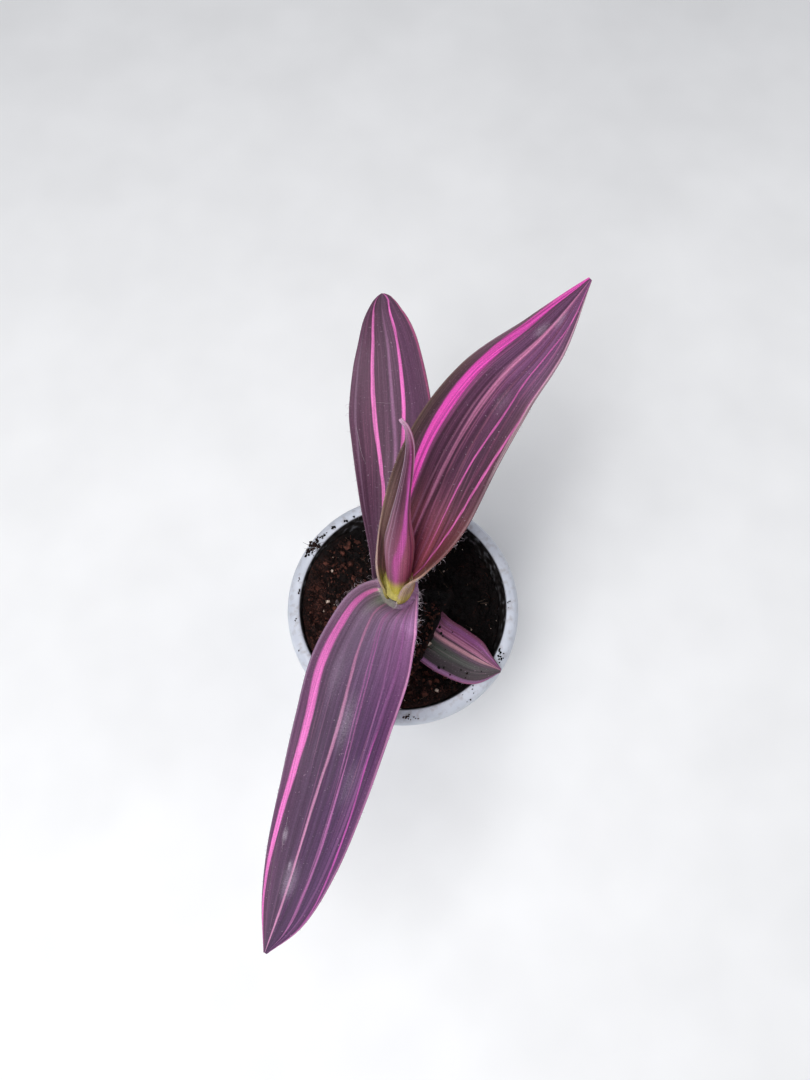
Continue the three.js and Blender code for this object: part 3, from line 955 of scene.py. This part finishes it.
# ---- Front leaf ----
# The longest leaf arches forwards over the lip. Its widest stripe runs down the left.
FRONT_STATIONS = [
    (-2.7, -5.7, 85, 12.4, 163, 0.35, 0.94, 0),
    (-2.8, -7.2, 89.7, 11.4, 106, 0.3, 0.85, 0.4),
    (-7.3, -12.2, 96, 12.4, 15, 0.2, 0.5, 0.85),
    (-12.1, -26.8, 103, 14.4, -10, 0.1, 0.25, 0.96),
    (-16.8, -44, 105.4, 13.3, -6, 0.05, 0, 1),
    (-21.3, -60, 104, 12, 2, 0, -0.2, 0.97),
    (-27, -77.4, 98.3, 10.2, 6, -0.1, -0.35, 0.93),
    (-32.7, -92.5, 90, 6.7, 10, -0.18, -0.42, 0.89),
    (-38.5, -104, 83, 0.6, 20, -0.23, -0.43, 0.87),
]
front_skin = leaf_skin(
    "front_leaf_skin_grown_striped",
    # The lower ground, by the foot, is paler partly as the leaf's own colour and partly as painted light in
    # the shade of the crown.
    [(-1, "#8f5d8a"), (-0.7, "#865682"), (-0.2, "#856687"), (0.3, "#846e86"), (0.9, "#76536e")],
    [(-1, "#60345e"), (-0.7, "#482a50"), (0, "#4e3352"), (0.5, "#4f3750"), (1, "#60385a")],
    ("#6f5672", 0.12, 0.06),
    [
        ("#b48ab4", 0.9, [(0.1, -0.6, 0.7, 0.45), (0.2, -0.65, 0.6, 0.4), (0.3, -0.7, 0.4, 0.15),
            (0.4, -0.7, 0.3, 0)]),
        ("#a88aa6", 0.9, [(0.1, 0.9, 0.3, 0.4), (0.2, 0.9, 0.25, 0.35), (0.32, 0.95, 0.15, 0)]),
        ("#828c80", 0.9, [(0.04, 0.4, 0.25, 0.9), (0.13, 0.4, 0.2, 0.9), (0.2, 0.4, 0.12, 0.5),
            (0.27, 0.4, 0.06, 0)]),
        ("#c3c0ac", 0.7, [(0.05, 0.52, 0.04, 0.9), (0.1, 0.62, 0.05, 0.95), (0.16, 0.72, 0.05, 0.9),
            (0.21, 0.75, 0.03, 0)]),
        ("#f07cc9", 0.3, [(0.13, 0.68, 0.02, 0), (0.17, 0.73, 0.05, 0.9), (0.22, 0.72, 0.07, 1),
            (0.4, 0.75, 0.08, 1), (0.51, 0.72, 0.075, 1), (0.6, 0.76, 0.065, 1), (0.7, 0.835, 0.055, 1),
            (0.82, 0.91, 0.04, 0.95), (0.96, 0.96, 0.03, 0.6)]),
        ("#c987ae", 0.6, [(0.12, 0.26, 0.03, 0.3), (0.2, 0.21, 0.025, 0.7), (0.35, 0.14, 0.025, 0.9),
            (0.5, 0.08, 0.03, 0.95), (0.64, 0.135, 0.028, 1), (0.8, 0.157, 0.03, 1),
            (0.94, 0.2, 0.05, 0.8)]),
        ("#a76399", 0.5, [(0.1, -0.08, 0.01, 0.2), (0.21, -0.1, 0.014, 0.6), (0.35, -0.2, 0.015, 0.7),
            (0.52, -0.28, 0.015, 0.7), (0.64, -0.33, 0.02, 0.9), (0.76, -0.39, 0.03, 0.9),
            (0.85, -0.42, 0.05, 0.9), (0.95, -0.59, 0.03, 0.8)]),
        ("#a76399", 0.5, [(0.1, -0.03, 0.01, 0.1), (0.21, -0.06, 0.012, 0.5), (0.35, -0.14, 0.013, 0.6),
            (0.52, -0.22, 0.014, 0.6), (0.64, -0.28, 0.014, 0.5), (0.76, -0.34, 0.02, 0.3),
            (0.85, -0.4, 0.02, 0)]),
        ("#a0689a", 0.6, [(0.1, -0.33, 0.015, 0.3), (0.2, -0.39, 0.02, 0.6), (0.3, -0.48, 0.02, 0.6),
            (0.45, -0.57, 0.018, 0.5), (0.6, -0.62, 0.015, 0.1)]),
        ("#a868a2", 0.6, [(0.1, -0.55, 0.02, 0.4), (0.22, -0.625, 0.025, 0.6), (0.33, -0.72, 0.03, 0.6),
            (0.5, -0.7, 0.03, 0.3)]),
        ("#c557ae", 0.5, [(0.45, -0.74, 0.012, 0), (0.55, -0.72, 0.016, 0.7), (0.64, -0.77, 0.018, 0.9),
            (0.75, -0.83, 0.02, 0.9), (0.85, -0.92, 0.02, 0.5), (0.95, -0.96, 0.02, 0.2)]),
        ("#e29ac8", 0.5, [(0.12, -0.95, 0.03, 0.9), (0.3, -0.965, 0.025, 0.9), (0.5, -0.97, 0.02, 0.7),
            (0.75, -0.98, 0.02, 0.4), (0.95, -0.98, 0.03, 0.5)]),
        ("#a386a0", 0.6, [(0.12, 0.97, 0.03, 0.6), (0.4, 0.975, 0.02, 0.5), (0.7, 0.98, 0.015, 0.3)]),
    ],
    # Patches of wax bloom that are also painted reflections of the lamps:
    [(0.486, -0.04, 0.08, 0.25, 0.25), (0.805, 0.16, 0.06, 0.35, 0.3), (0.722, 0.6, 0.02, 0.1, 0.5),
     (0.774, 0.28, 0.014, 0.07, 0.5), (0.4, 0.4, 0.08, 0.2, 0.12), (0.6, -0.5, 0.07, 0.2, 0.12)],
)
front_leaf = grow_leaf("front_leaf", FRONT_STATIONS)
finish_piece(front_leaf, [front_skin, underside], ["leaf_front"])

# The leaf's own tissue fills the fold between its sheath and the next one: a soft collar
# that is lowest where the blade sets out.
AXIL_MIDDLE = (-1.2, -1.9)
AXIL_STEPS = 72


def grow_axil(name, outline, lowest, height, rise, flare):
    """A collar between two sheaths, lowest on the side given in degrees from +X.

    Where it rises it also opens outwards, by the flare, as the sheath round it does.
    """
    axil = turn(name, outline, AXIL_STEPS)
    for vertex in axil.data.vertices:
        turned = math.atan2(vertex.co.y, vertex.co.x) - math.radians(lowest)
        lifted = rise * (1 - math.cos(turned))
        vertex.co.xy *= 1 + flare * lifted
        vertex.co += Vector((*AXIL_MIDDLE, height + lifted)) * MM
    return axil


# Leaf base tissue, grown: waxy, in tones that run into each other from left to right.
def axil_skin(name, tones):
    skin = start_skin(name)
    place = add(skin, "TexCoord", give="Object")
    sideways = add(skin, "SeparateXYZ", {"Vector": place}, "X")
    share = add(skin, "MapRange", {"Value": sideways, "From Min": -7 * MM, "From Max": 5 * MM})
    tone = grade(add(skin, "ValToRGB", {"Fac": share}), tones)
    streak = streaks(skin, place, (1, 1, 0.3), Scale=1 / (0.7 * MM), Detail=3)
    value = add(
        skin, "MapRange", {"Value": streak, "From Min": 0.3, "From Max": 0.7, "To Min": 0.7, "To Max": 1.15}
    )
    colour = add(skin, "HueSaturation", {"Color": tone, "Value": value})
    bump = add(skin, "Bump", {"Height": streak, "Strength": 0.4, "Distance": 0.15 * MM})
    shader = add(
        skin,
        "BsdfPrincipled",
        {"Base Color": colour, "Roughness": 0.55, "Specular IOR Level": 0.25, "Normal": bump},
    )
    add(skin, "OutputMaterial", {"Surface": shader})
    return skin


OUTER_FOLD = [(3.5, -1.5), (5.7, -1.4), (5.9, -0.9), (5.5, -0.4), (4.9, 0), (4.2, 0.3), (3.5, 0.4)]
outer_axil = grow_axil("outer_leaf_axil", OUTER_FOLD, lowest=235, height=90.5, rise=3.2, flare=0)
outer_tones = [(0.1, "#8f8b80"), (0.35, "#827c78"), (0.55, "#8a6788"), (0.9, "#8c6688")]
finish_piece(outer_axil, [axil_skin("leaf_base_grown_violet", outer_tones)])

INNER_FOLD = [(1.6, -5), (3.3, -5), (3.8, -2), (4.1, -0.4), (3.6, 0.2), (2.8, 0.7), (1.6, 0.9)]
inner_axil = grow_axil("inner_leaf_axil", INNER_FOLD, lowest=265, height=95.6, rise=3, flare=0.06)
inner_tones = [(0.15, "#a59b55"), (0.5, "#bfb35e"), (0.72, "#b59f6b"), (0.88, "#926549")]
finish_piece(inner_axil, [axil_skin("leaf_base_grown_green", inner_tones)])


# ---- Right leaf ----
# It stands up to the right, and its hollow base is a funnel round the young leaf.
RIGHT_STATIONS = [
    (0.6, 1.5, 90.3, 10.8, 165, -0.5, -0.85, 0),
    (0.4, 1.8, 95.5, 11.4, 150, -0.45, -0.86, 0.2),
    (1.4, 6.9, 101, 14.4, 112, -0.3, -0.77, 0.56),
    (7.3, 20.8, 113, 14.8, 50, 0.03, -0.74, 0.67),
    (14.1, 33, 126, 14.8, 42, 0.07, -0.73, 0.68),
    (23.8, 44, 138, 12.9, 40, 0.14, -0.71, 0.69),
    (36, 52.6, 148, 8.2, 35, 0.32, -0.62, 0.72),
    (47.9, 64.8, 155, 0.6, 30, 0.38, -0.58, 0.72),
]
right_skin = leaf_skin(
    "right_leaf_skin_grown_striped",
    # The lower ground, by the foot, is partly the leaf's own reddish brown and partly painted light in the
    # shade of the funnel, most at the left margin.
    [(-1, "#a3806a"), (-0.6, "#a06c62"), (-0.1, "#8c484c"), (0.2, "#9c4c5f"), (0.5, "#8c484b"),
     (0.8, "#7c4642"), (1, "#805048")],
    [(-1, "#665048"), (-0.7, "#5c3d4a"), (-0.2, "#533046"), (0.3, "#562c49"), (0.7, "#4d2942"),
     (1, "#5e3c48")],
    ("#c4ba50", 0.17, 0.1),
    [
        # The first two stripes span the whole blade: the dark one halfway along is painted shade, and the
        # pale violet one towards the tip is painted light.
        ("#34192c", 0.1, [(0.4, 0, 1.2, 0), (0.51, 0, 1.2, 0.3), (0.62, 0, 1.2, 0.25), (0.75, 0, 1.2, 0)]),
        ("#865a86", 0.1, [(0.6, 0, 1.2, 0), (0.72, 0, 1.2, 0.15), (0.8, 0, 1.2, 0.4), (0.9, 0, 1.2, 0.4)]),
        ("#c8aca4", 0.9, [(0.1, -0.9, 0.3, 0.9), (0.25, -0.88, 0.3, 0.8), (0.38, -0.88, 0.2, 0.3),
            (0.5, -0.9, 0.1, 0)]),
        ("#cdb690", 0.9, [(0.1, 0.85, 0.35, 0.9), (0.2, 0.88, 0.3, 0.7), (0.33, 0.95, 0.15, 0)]),
        ("#cabf55", 0.9, [(0.05, -0.7, 0.4, 1), (0.15, -0.7, 0.3, 1), (0.2, -0.75, 0.2, 0.7),
            (0.27, -0.9, 0.1, 0)]),
        ("#ee55bd", 0.22, [(0.3, -0.38, 0.04, 1), (0.44, -0.41, 0.06, 1), (0.51, -0.465, 0.1, 1),
            (0.57, -0.5, 0.115, 1), (0.64, -0.53, 0.135, 1), (0.75, -0.6, 0.15, 1), (0.8, -0.69, 0.165, 1),
            (0.855, -0.77, 0.17, 1), (0.92, -0.85, 0.16, 0.9)]),
        ("#b3418f", 0.9, [(0.4, -0.41, 0.01, 0.3), (0.57, -0.5, 0.012, 0.7), (0.75, -0.58, 0.012, 0.6),
            (0.85, -0.76, 0.01, 0.2)]),
        ("#98507f", 0.7, [(0.35, -0.3, 0.03, 0.3), (0.5, -0.35, 0.03, 0.6), (0.65, -0.35, 0.04, 0.7),
            (0.8, -0.42, 0.04, 0.6), (0.9, -0.5, 0.04, 0.2)]),
        ("#b46f93", 0.5, [(0.2, -0.02, 0.02, 0.4), (0.35, 0, 0.025, 0.7), (0.47, 0.05, 0.03, 0.8),
            (0.6, 0.085, 0.035, 0.8), (0.7, 0.08, 0.05, 0.9), (0.78, 0.03, 0.06, 0.9),
            (0.84, 0.02, 0.065, 1), (0.93, 0.08, 0.05, 0.9)]),
        ("#9a6480", 0.7, [(0.2, -0.15, 0.015, 0.4), (0.4, -0.12, 0.02, 0.7), (0.6, -0.05, 0.02, 0.6),
            (0.75, -0.06, 0.02, 0.3)]),
        ("#9c5878", 0.7, [(0.2, 0.1, 0.02, 0.5), (0.4, 0.16, 0.02, 0.7), (0.6, 0.18, 0.015, 0.4)]),
        ("#a05a7a", 0.7, [(0.15, 0.22, 0.02, 0.4), (0.35, 0.3, 0.02, 0.7), (0.5, 0.36, 0.015, 0.5)]),
        ("#8c4a6c", 0.7, [(0.2, 0.5, 0.02, 0.4), (0.35, 0.56, 0.025, 0.6), (0.55, 0.7, 0.02, 0.4)]),
        ("#3a1c30", 0.7, [(0.25, 0.03, 0.02, 0.2), (0.4, 0.07, 0.03, 0.5), (0.6, 0.3, 0.04, 0.5),
            (0.75, 0.3, 0.03, 0.2)]),
        ("#d15faa", 0.5, [(0.3, 0.4, 0.008, 0.1), (0.41, 0.44, 0.012, 0.6), (0.55, 0.515, 0.016, 0.9),
            (0.69, 0.59, 0.018, 0.8), (0.82, 0.53, 0.018, 0.7), (0.94, 0.74, 0.025, 0.6)]),
        ("#d668ad", 0.5, [(0.1, 0.185, 0.02, 0.7), (0.164, 0.295, 0.022, 0.9), (0.245, 0.46, 0.022, 0.95),
            (0.336, 0.614, 0.02, 1), (0.41, 0.725, 0.02, 1), (0.48, 0.79, 0.022, 1),
            (0.564, 0.857, 0.022, 0.8), (0.69, 0.94, 0.02, 0.5)]),
        ("#b39aa0", 0.6, [(0.5, 0.97, 0.02, 0.2), (0.65, 0.97, 0.03, 0.7), (0.85, 0.96, 0.03, 0.7)]),
    ],
    # Patches of wax bloom that are also painted reflections of the lamps:
    [(0.865, -0.2, 0.03, 0.25, 0.3), (0.905, 0.15, 0.03, 0.25, 0.25), (0.7, 0.4, 0.05, 0.2, 0.1)],
    contrast=1.5,
)
right_leaf = grow_leaf("right_leaf", RIGHT_STATIONS)
finish_piece(right_leaf, [right_skin, underside], ["leaf_right"])


# ---- Back leaf ----
# It stands up and back from the lower node, and two thin clear stripes flank its rib.
BACK_STATIONS = [
    (-2.9, 2.2, 70.5, 11, 165, 0.55, -0.83, 0),
    (-3.4, 2.5, 76.5, 12, 150, 0.5, -0.83, 0.1),
    (-4.8, 5.6, 80.5, 7.2, 70, 0.3, -0.87, 0.3),
    (-5.4, 9.2, 88, 5.4, 62, 0, -0.8, 0.55),
    (-3.6, 22.3, 101, 9.6, 45, -0.15, -0.7, 0.7),
    (-1.9, 34.5, 112, 13.1, 35, -0.35, -0.6, 0.7),
    (-2.1, 44.3, 121.5, 14, 30, -0.45, -0.43, 0.76),
    (-3.6, 58, 128.5, 10.9, 25, -0.45, -0.3, 0.8),
    (-5.6, 69.3, 130, 6.3, 15, -0.4, -0.1, 0.85),
    (-6.1, 78.3, 128, 1.5, 5, -0.3, 0.1, 0.9),
]
back_skin = leaf_skin(
    "back_leaf_skin_grown_striped",
    [(-1, "#5c4052"), (-0.5, "#684c64"), (0, "#6e5b5a"), (0.5, "#6a4d5a"), (1, "#70485e")],
    [(-1, "#5e3c52"), (-0.5, "#55364a"), (0, "#62475a"), (0.5, "#5a3a53"), (1, "#5e3f56")],
    ("#77657c", 0.25, 0.15),
    [
        ("#e47abe", 0.3, [(0.3, -0.2, 0.03, 0.8), (0.47, -0.256, 0.044, 1), (0.52, -0.34, 0.044, 1),
            (0.58, -0.42, 0.044, 1), (0.66, -0.46, 0.044, 1), (0.75, -0.49, 0.044, 1),
            (0.87, -0.46, 0.05, 0.9), (0.95, -0.59, 0.06, 0.7)]),
        ("#e070ba", 0.3, [(0.4, 0.05, 0.03, 0.8), (0.64, 0.2, 0.044, 1), (0.71, 0.256, 0.044, 1),
            (0.78, 0.31, 0.044, 1), (0.845, 0.377, 0.044, 1), (0.9, 0.44, 0.05, 1),
            (0.95, 0.6, 0.06, 0.8)]),
        ("#94688a", 0.8, [(0.3, 0, 0.04, 0.4), (0.55, -0.01, 0.045, 0.8), (0.7, -0.04, 0.04, 0.8),
            (0.85, 0.035, 0.035, 0.5), (0.95, 0.05, 0.03, 0)]),
        ("#8a6c84", 0.8, [(0.4, -0.88, 0.03, 0.2), (0.6, -0.87, 0.03, 0.5), (0.8, -0.86, 0.02, 0.4)]),
        ("#b0567f", 0.6, [(0.5, 0.98, 0.015, 0.3), (0.75, 0.98, 0.02, 0.8), (0.95, 0.97, 0.03, 0.8)]),
    ],
)
back_leaf = grow_leaf("back_leaf", BACK_STATIONS, round_from=0.965)
finish_piece(back_leaf, [back_skin, underside], ["leaf_back"])


# ---- Lowest leaf ----
# A short leaf from soil level. Its tip lies on the lip at the lower right.
LOW_STATIONS = [
    (3.2, -2.3, 43.2, 11, 165, -0.83, 0.55, 0),
    (3.5, -2.7, 52, 12, 150, -0.8, 0.5, 0.15),
    (6, -5.8, 57, 10.5, 72, -0.6, 0.3, 0.7),
    (10, -11, 59.2, 8.9, 12, -0.4, 0.15, 0.9),
    (17, -16, 61, 8.7, -5, -0.3, 0.05, 0.95),
    (25, -20.6, 63.1, 7, 5, -0.25, -0.05, 0.96),
    (32.5, -22.8, 63.9, 0.6, 10, -0.2, -0.1, 0.97),
]
low_skin = leaf_skin(
    "lowest_leaf_skin_grown_dull",
    [(-1, "#4a3036"), (-0.5, "#704f5a"), (-0.1, "#65555b"), (0.1, "#50504c"), (0.8, "#444643"),
     (1, "#664b64")],
    [(-1, "#603249"), (-0.5, "#6a3955"), (-0.1, "#62465a"), (0.1, "#474044"), (0.8, "#3a3135"),
     (1, "#503c48")],
    ("#5c4a4c", 0.3, 0.2),
    [
        ("#b0708f", 0.4, [(0.4, -0.44, 0.05, 0.5), (0.5, -0.44, 0.08, 0.7), (0.75, -0.42, 0.08, 0.8),
            (0.95, -0.35, 0.08, 0.7)]),
        ("#bd8a94", 0.4, [(0.4, -0.18, 0.05, 0.6), (0.55, -0.18, 0.09, 0.8), (0.8, -0.18, 0.07, 0.8),
            (0.95, -0.2, 0.06, 0.7)]),
        ("#8b4f88", 0.7, [(0.45, -0.8, 0.06, 0.2), (0.65, -0.78, 0.09, 0.7), (0.9, -0.75, 0.1, 0.7)]),
        ("#8d5583", 0.6, [(0.45, -0.62, 0.02, 0.3), (0.7, -0.6, 0.025, 0.8), (0.9, -0.55, 0.03, 0.6)]),
        ("#33272f", 0.7, [(0.4, -0.31, 0.02, 0.5), (0.7, -0.3, 0.025, 0.9), (0.9, -0.28, 0.02, 0.8)]),
        ("#505b4f", 0.9, [(0.35, 0.2, 0.2, 0.7), (0.55, 0.2, 0.2, 0.7), (0.75, 0.2, 0.12, 0.4),
            (0.9, 0.2, 0.05, 0)]),
        ("#9a6a96", 0.6, [(0.35, 0.87, 0.07, 0.7), (0.6, 0.88, 0.08, 0.9), (0.85, 0.9, 0.06, 0.8)]),
        ("#a8608a", 0.5, [(0.35, 0.98, 0.02, 0.6), (0.85, 0.98, 0.03, 0.6)]),
    ],
)
low_leaf = grow_leaf("lowest_leaf", LOW_STATIONS)
finish_piece(low_leaf, [low_skin, underside], ["leaf_low"])


def on_leaf(stations, t, across, lift):
    """A spot over the blade's upper face, the lift in millimetres from mid thickness."""
    point, normal = across_row(leaf_row(stations, t), across)
    return point + normal * lift


# Crumbs that lie on it where the photograph shows them: share of the length, across, size.
# One grain of perlite lies among them, half on the bank.
LOW_CRUMBS = [
    (0.5, -0.5, 1.3), (0.536, -0.35, 1.3), (0.56, -0.3, 0.8), (0.6, -0.62, 0.7), (0.62, 0.1, 0.6),
    (0.64, 0.8, 1.4), (0.67, 0.72, 1), (0.72, 0.86, 0.7), (0.76, 0.5, 0.8), (0.797, 0.54, 1.1),
    (0.8, 0.75, 0.6), (0.87, 0.3, 0.6),
]
LOW_PERLITE = (0.514, 0.29)
LOW_PERLITE_SIZE = 1.9
LOW_PERLITE_LIFT = 0.9
draw = random.Random(21)
low_places = [tumbled(on_leaf(LOW_STATIONS, t, a, 0.7), size, draw) for t, a, size in LOW_CRUMBS]
strew("lowest_leaf_crumbs", small_grains, low_places, peat_finish)
spot = on_leaf(LOW_STATIONS, *LOW_PERLITE, LOW_PERLITE_LIFT)
spot.z = max(spot.z, peat_top(spot.x, spot.y) + LOW_PERLITE_LIFT)
perlite_place = tumbled(spot, LOW_PERLITE_SIZE, draw)
strew("lowest_leaf_perlite", large_grains, [perlite_place], perlite_finish)


# ---- Young leaf ----
# The shoot's newest leaf is still rolled into a spear, so its underside shows, with one
# magenta stripe. Its pale tip is hooked to the left.
YOUNG_STATIONS = [
    (-1.6, -4.7, 93.4, 5.6, 150, 0.05, 1, 0),
    (-1.2, -1.6, 104, 8.8, 150, 0.03, 0.95, -0.3),
    (-0.9, 3.6, 114.5, 10, 145, 0, 0.9, -0.42),
    (-0.4, 8.8, 125, 6.2, 142, -0.05, 0.9, -0.42),
    (0.5, 12.8, 135, 3.8, 150, -0.1, 0.9, -0.4),
    (1.5, 16.2, 145, 2.4, 130, 0, 0.9, -0.4),
    (1.9, 19.6, 152.5, 1.6, 110, 0.1, 0.9, -0.4),
    (1.1, 22.4, 156.7, 0.9, 90, 0.3, 0.8, -0.6),
    (-0.5, 24.7, 157.5, 0.45, 60, 0.3, 0.6, -0.8),
]
young_skin = leaf_skin(
    "young_leaf_skin_grown_rolled",
    # The ground darkens in a narrow band on the roll's right, just past the magenta stripe, as painted shade
    # where the roll turns away from the light.
    [(-1, "#9a4c62"), (-0.42, "#984c5b"), (-0.34, "#6e2a46"), (-0.26, "#984a62"), (0.2, "#825066"),
     (0.5, "#835462"), (0.9, "#8a586e"), (1, "#a88894")],
    [(-1, "#924a68"), (-0.42, "#9c4072"), (-0.34, "#531a33"), (-0.2, "#5a2740"), (0.3, "#552e44"),
     (0.7, "#5a334c"), (1, "#7c5a72")],
    ("#b9ae4c", 0.13, 0.07),
    [
        ("#c453a6", 0.55, [(0.12, 0.1, 0.08, 0.4), (0.2, 0.08, 0.1, 0.55), (0.27, -0.036, 0.1, 0.7),
            (0.33, -0.118, 0.1, 0.85), (0.4, -0.17, 0.1, 1), (0.5, -0.17, 0.1, 1), (0.62, -0.1, 0.1, 0.6),
            (0.75, -0.1, 0.1, 0.3)]),
        ("#a07a90", 0.7, [(0.15, 0.3, 0.02, 0.3), (0.3, 0.28, 0.02, 0.6), (0.5, 0.25, 0.02, 0.5)]),
        ("#a07a90", 0.7, [(0.15, 0.42, 0.02, 0.3), (0.3, 0.42, 0.02, 0.6), (0.5, 0.4, 0.02, 0.5)]),
        ("#bb9fb4", 0.6, [(0.2, 0.62, 0.02, 0.3), (0.35, 0.6, 0.03, 0.6), (0.6, 0.6, 0.05, 0.8),
            (0.9, 0.6, 0.1, 0.9)]),
        ("#c9a4bb", 0.6, [(0.45, -0.5, 0.03, 0.2), (0.6, -0.55, 0.06, 0.8), (0.9, -0.6, 0.12, 0.9)]),
        ("#c9a0bb", 0.8, [(0.7, 0.1, 0.05, 0), (0.84, 0, 0.6, 0.3), (0.92, 0, 0.9, 0.6), (1, 0, 1, 0.9)]),
    ],
)
young_leaf = grow_leaf("young_leaf", YOUNG_STATIONS)
finish_piece(young_leaf, [young_skin, young_skin], ["leaf_young"])


# ---- Leaf hairs ----
# Soft white hairs stand out from the leaf margins, long and curly by each leaf's foot
# and short further out, and a few shed threads lie on the faces.
HAIR_RADIUS = 0.04
HAIR_BEND = (0.8, 4)  # radians, from nearly straight to a full curl
HAIR_SWAY = 0.6
THREAD_LIFT = 0.6  # from mid thickness to just over the face


def margin_hairs(draw, stations, edge, start, end, count, length):
    """Hairs along one margin, edge -1 or 1, from one share of the leaf to the other."""
    copies = []
    for i in range(count):
        row = leaf_row(stations, draw.uniform(start, end))
        root, normal = across_row(row, edge)
        outwards = normal.cross(row[1]) * edge + 1.5 * (root - row[0]).normalized()
        heading = outwards + row[1] * draw.gauss(0.1, 0.7) + normal * draw.gauss(0.1, 0.6)
        curl_axis = Vector((draw.gauss(0, 1), draw.gauss(0, 1), draw.gauss(0, 1)))
        long = length * draw.uniform(0.5, 1.2)
        bend = draw.uniform(*HAIR_BEND)
        sway = draw.uniform(-HAIR_SWAY, HAIR_SWAY)
        copies.append(bent(root, heading, curl_axis, long, bend, sway, HAIR_RADIUS))
    return copies


def thread(stations, start, end, sag):
    """A shed thread that lies on a leaf's face between two (share, across) spots."""
    root = on_leaf(stations, *start, THREAD_LIFT)
    reach = on_leaf(stations, *end, THREAD_LIFT) - root
    away = root - on_leaf(stations, *start, 0)
    return bent(root, reach, away, reach.length, 0.3, sag, HAIR_RADIUS)


MARGIN_HAIRS = [  # leaf, edge, from and to along it, how many, length
    (FRONT_STATIONS, -1, 0.12, 0.3, 36, 2.8),
    (FRONT_STATIONS, -1, 0.1, 0.18, 12, 3.6),
    (FRONT_STATIONS, -1, 0.3, 0.9, 40, 0.8),
    (FRONT_STATIONS, 1, 0.12, 0.27, 32, 2.6),
    (FRONT_STATIONS, 1, 0.24, 0.9, 40, 0.8),
    (RIGHT_STATIONS, 1, 0.08, 0.4, 70, 2.6),
    (RIGHT_STATIONS, 1, 0.4, 0.9, 30, 0.8),
    (RIGHT_STATIONS, -1, 0.2, 0.55, 50, 1.2),
    (BACK_STATIONS, -1, 0.25, 0.7, 40, 1.8),
    (BACK_STATIONS, 1, 0.3, 0.8, 24, 0.9),
    (YOUNG_STATIONS, -1, 0.15, 0.45, 30, 1.5),
    (LOW_STATIONS, 1, 0.35, 0.9, 14, 1),
]
THREADS = [  # leaf, start, end, sag
    (BACK_STATIONS, (0.684, -0.4), (0.684, 0.05), 0.05),
    (BACK_STATIONS, (0.62, -0.86), (0.53, -0.7), 0.08),
    (BACK_STATIONS, (0.464, -0.2), (0.45, 0.1), -0.06),
    (FRONT_STATIONS, (0.69, 0.64), (0.75, 0.56), 0.05),
    (RIGHT_STATIONS, (0.86, -0.3), (0.9, -0.1), 0.1),
]
draw = random.Random(33)
hair_copies = []
for tuft in MARGIN_HAIRS:
    hair_copies += margin_hairs(draw, *tuft)
hair_copies += [thread(*laid) for laid in THREADS]

# Leaf hair, grown: colourless and dry, so that it looks white against the leaf.
HAIR_STOPS = [(0.35, "#8f7d88"), (0.65, "#cbbfc6")]
hair_finish = mottled_skin("leaf_hair_grown", 1.5, 2, HAIR_STOPS, {"Roughness": 0.6})
finish_piece(gather("leaf_hairs", hair_copies), [hair_finish])


# ---- Floor and light ----
# A plain pale table top, and soft light from a wide lamp overhead, one low in front and a
# weak one at the right.
FLOOR_WIDTH = 3000
SKY_STRENGTH = 0.34
AIM = (0, 0, 60)  # the middle of the plant, which every lamp faces
bpy.ops.mesh.primitive_plane_add(size=FLOOR_WIDTH * MM)
floor = bpy.context.object
floor.name = "floor"

# Painted board, rolled: matt and near white with the faintest mottle.
MATT = {"Roughness": 0.8, "Specular IOR Level": 0.2}
board = mottled_skin("board_painted_matt", 40, 2, [(0.3, "#f0f0f0"), (0.7, "#f6f6f6")], MATT)
floor.data.materials.append(board)

LAMPS = [  # name, place in mm, width in mm, watts
    ("overhead_lamp", (-200, -110, 700), 420, 3.2),
    ("front_lamp", (-260, -560, 380), 200, 1.2),
    ("side_lamp", (520, 120, 420), 300, 0.6),
]
for name, place, width, watts in LAMPS:
    bpy.ops.object.light_add(type="AREA", location=Vector(place) * MM)
    lamp = bpy.context.object
    lamp.name = name
    lamp.data.shape = "DISK"
    lamp.data.size = width * MM
    lamp.data.energy = watts
    aim = Vector(AIM) - Vector(place)
    lamp.rotation_euler = aim.to_track_quat("-Z", "Y").to_euler()

world = bpy.context.scene.world or bpy.data.worlds.new("daylight")
bpy.context.scene.world = world
world.use_nodes = True
sky = world.node_tree.nodes["Background"]
sky.inputs["Color"].default_value = linear("#f4f7ff")
sky.inputs["Strength"].default_value = SKY_STRENGTH
bpy.context.scene.view_settings.view_transform = "Standard"
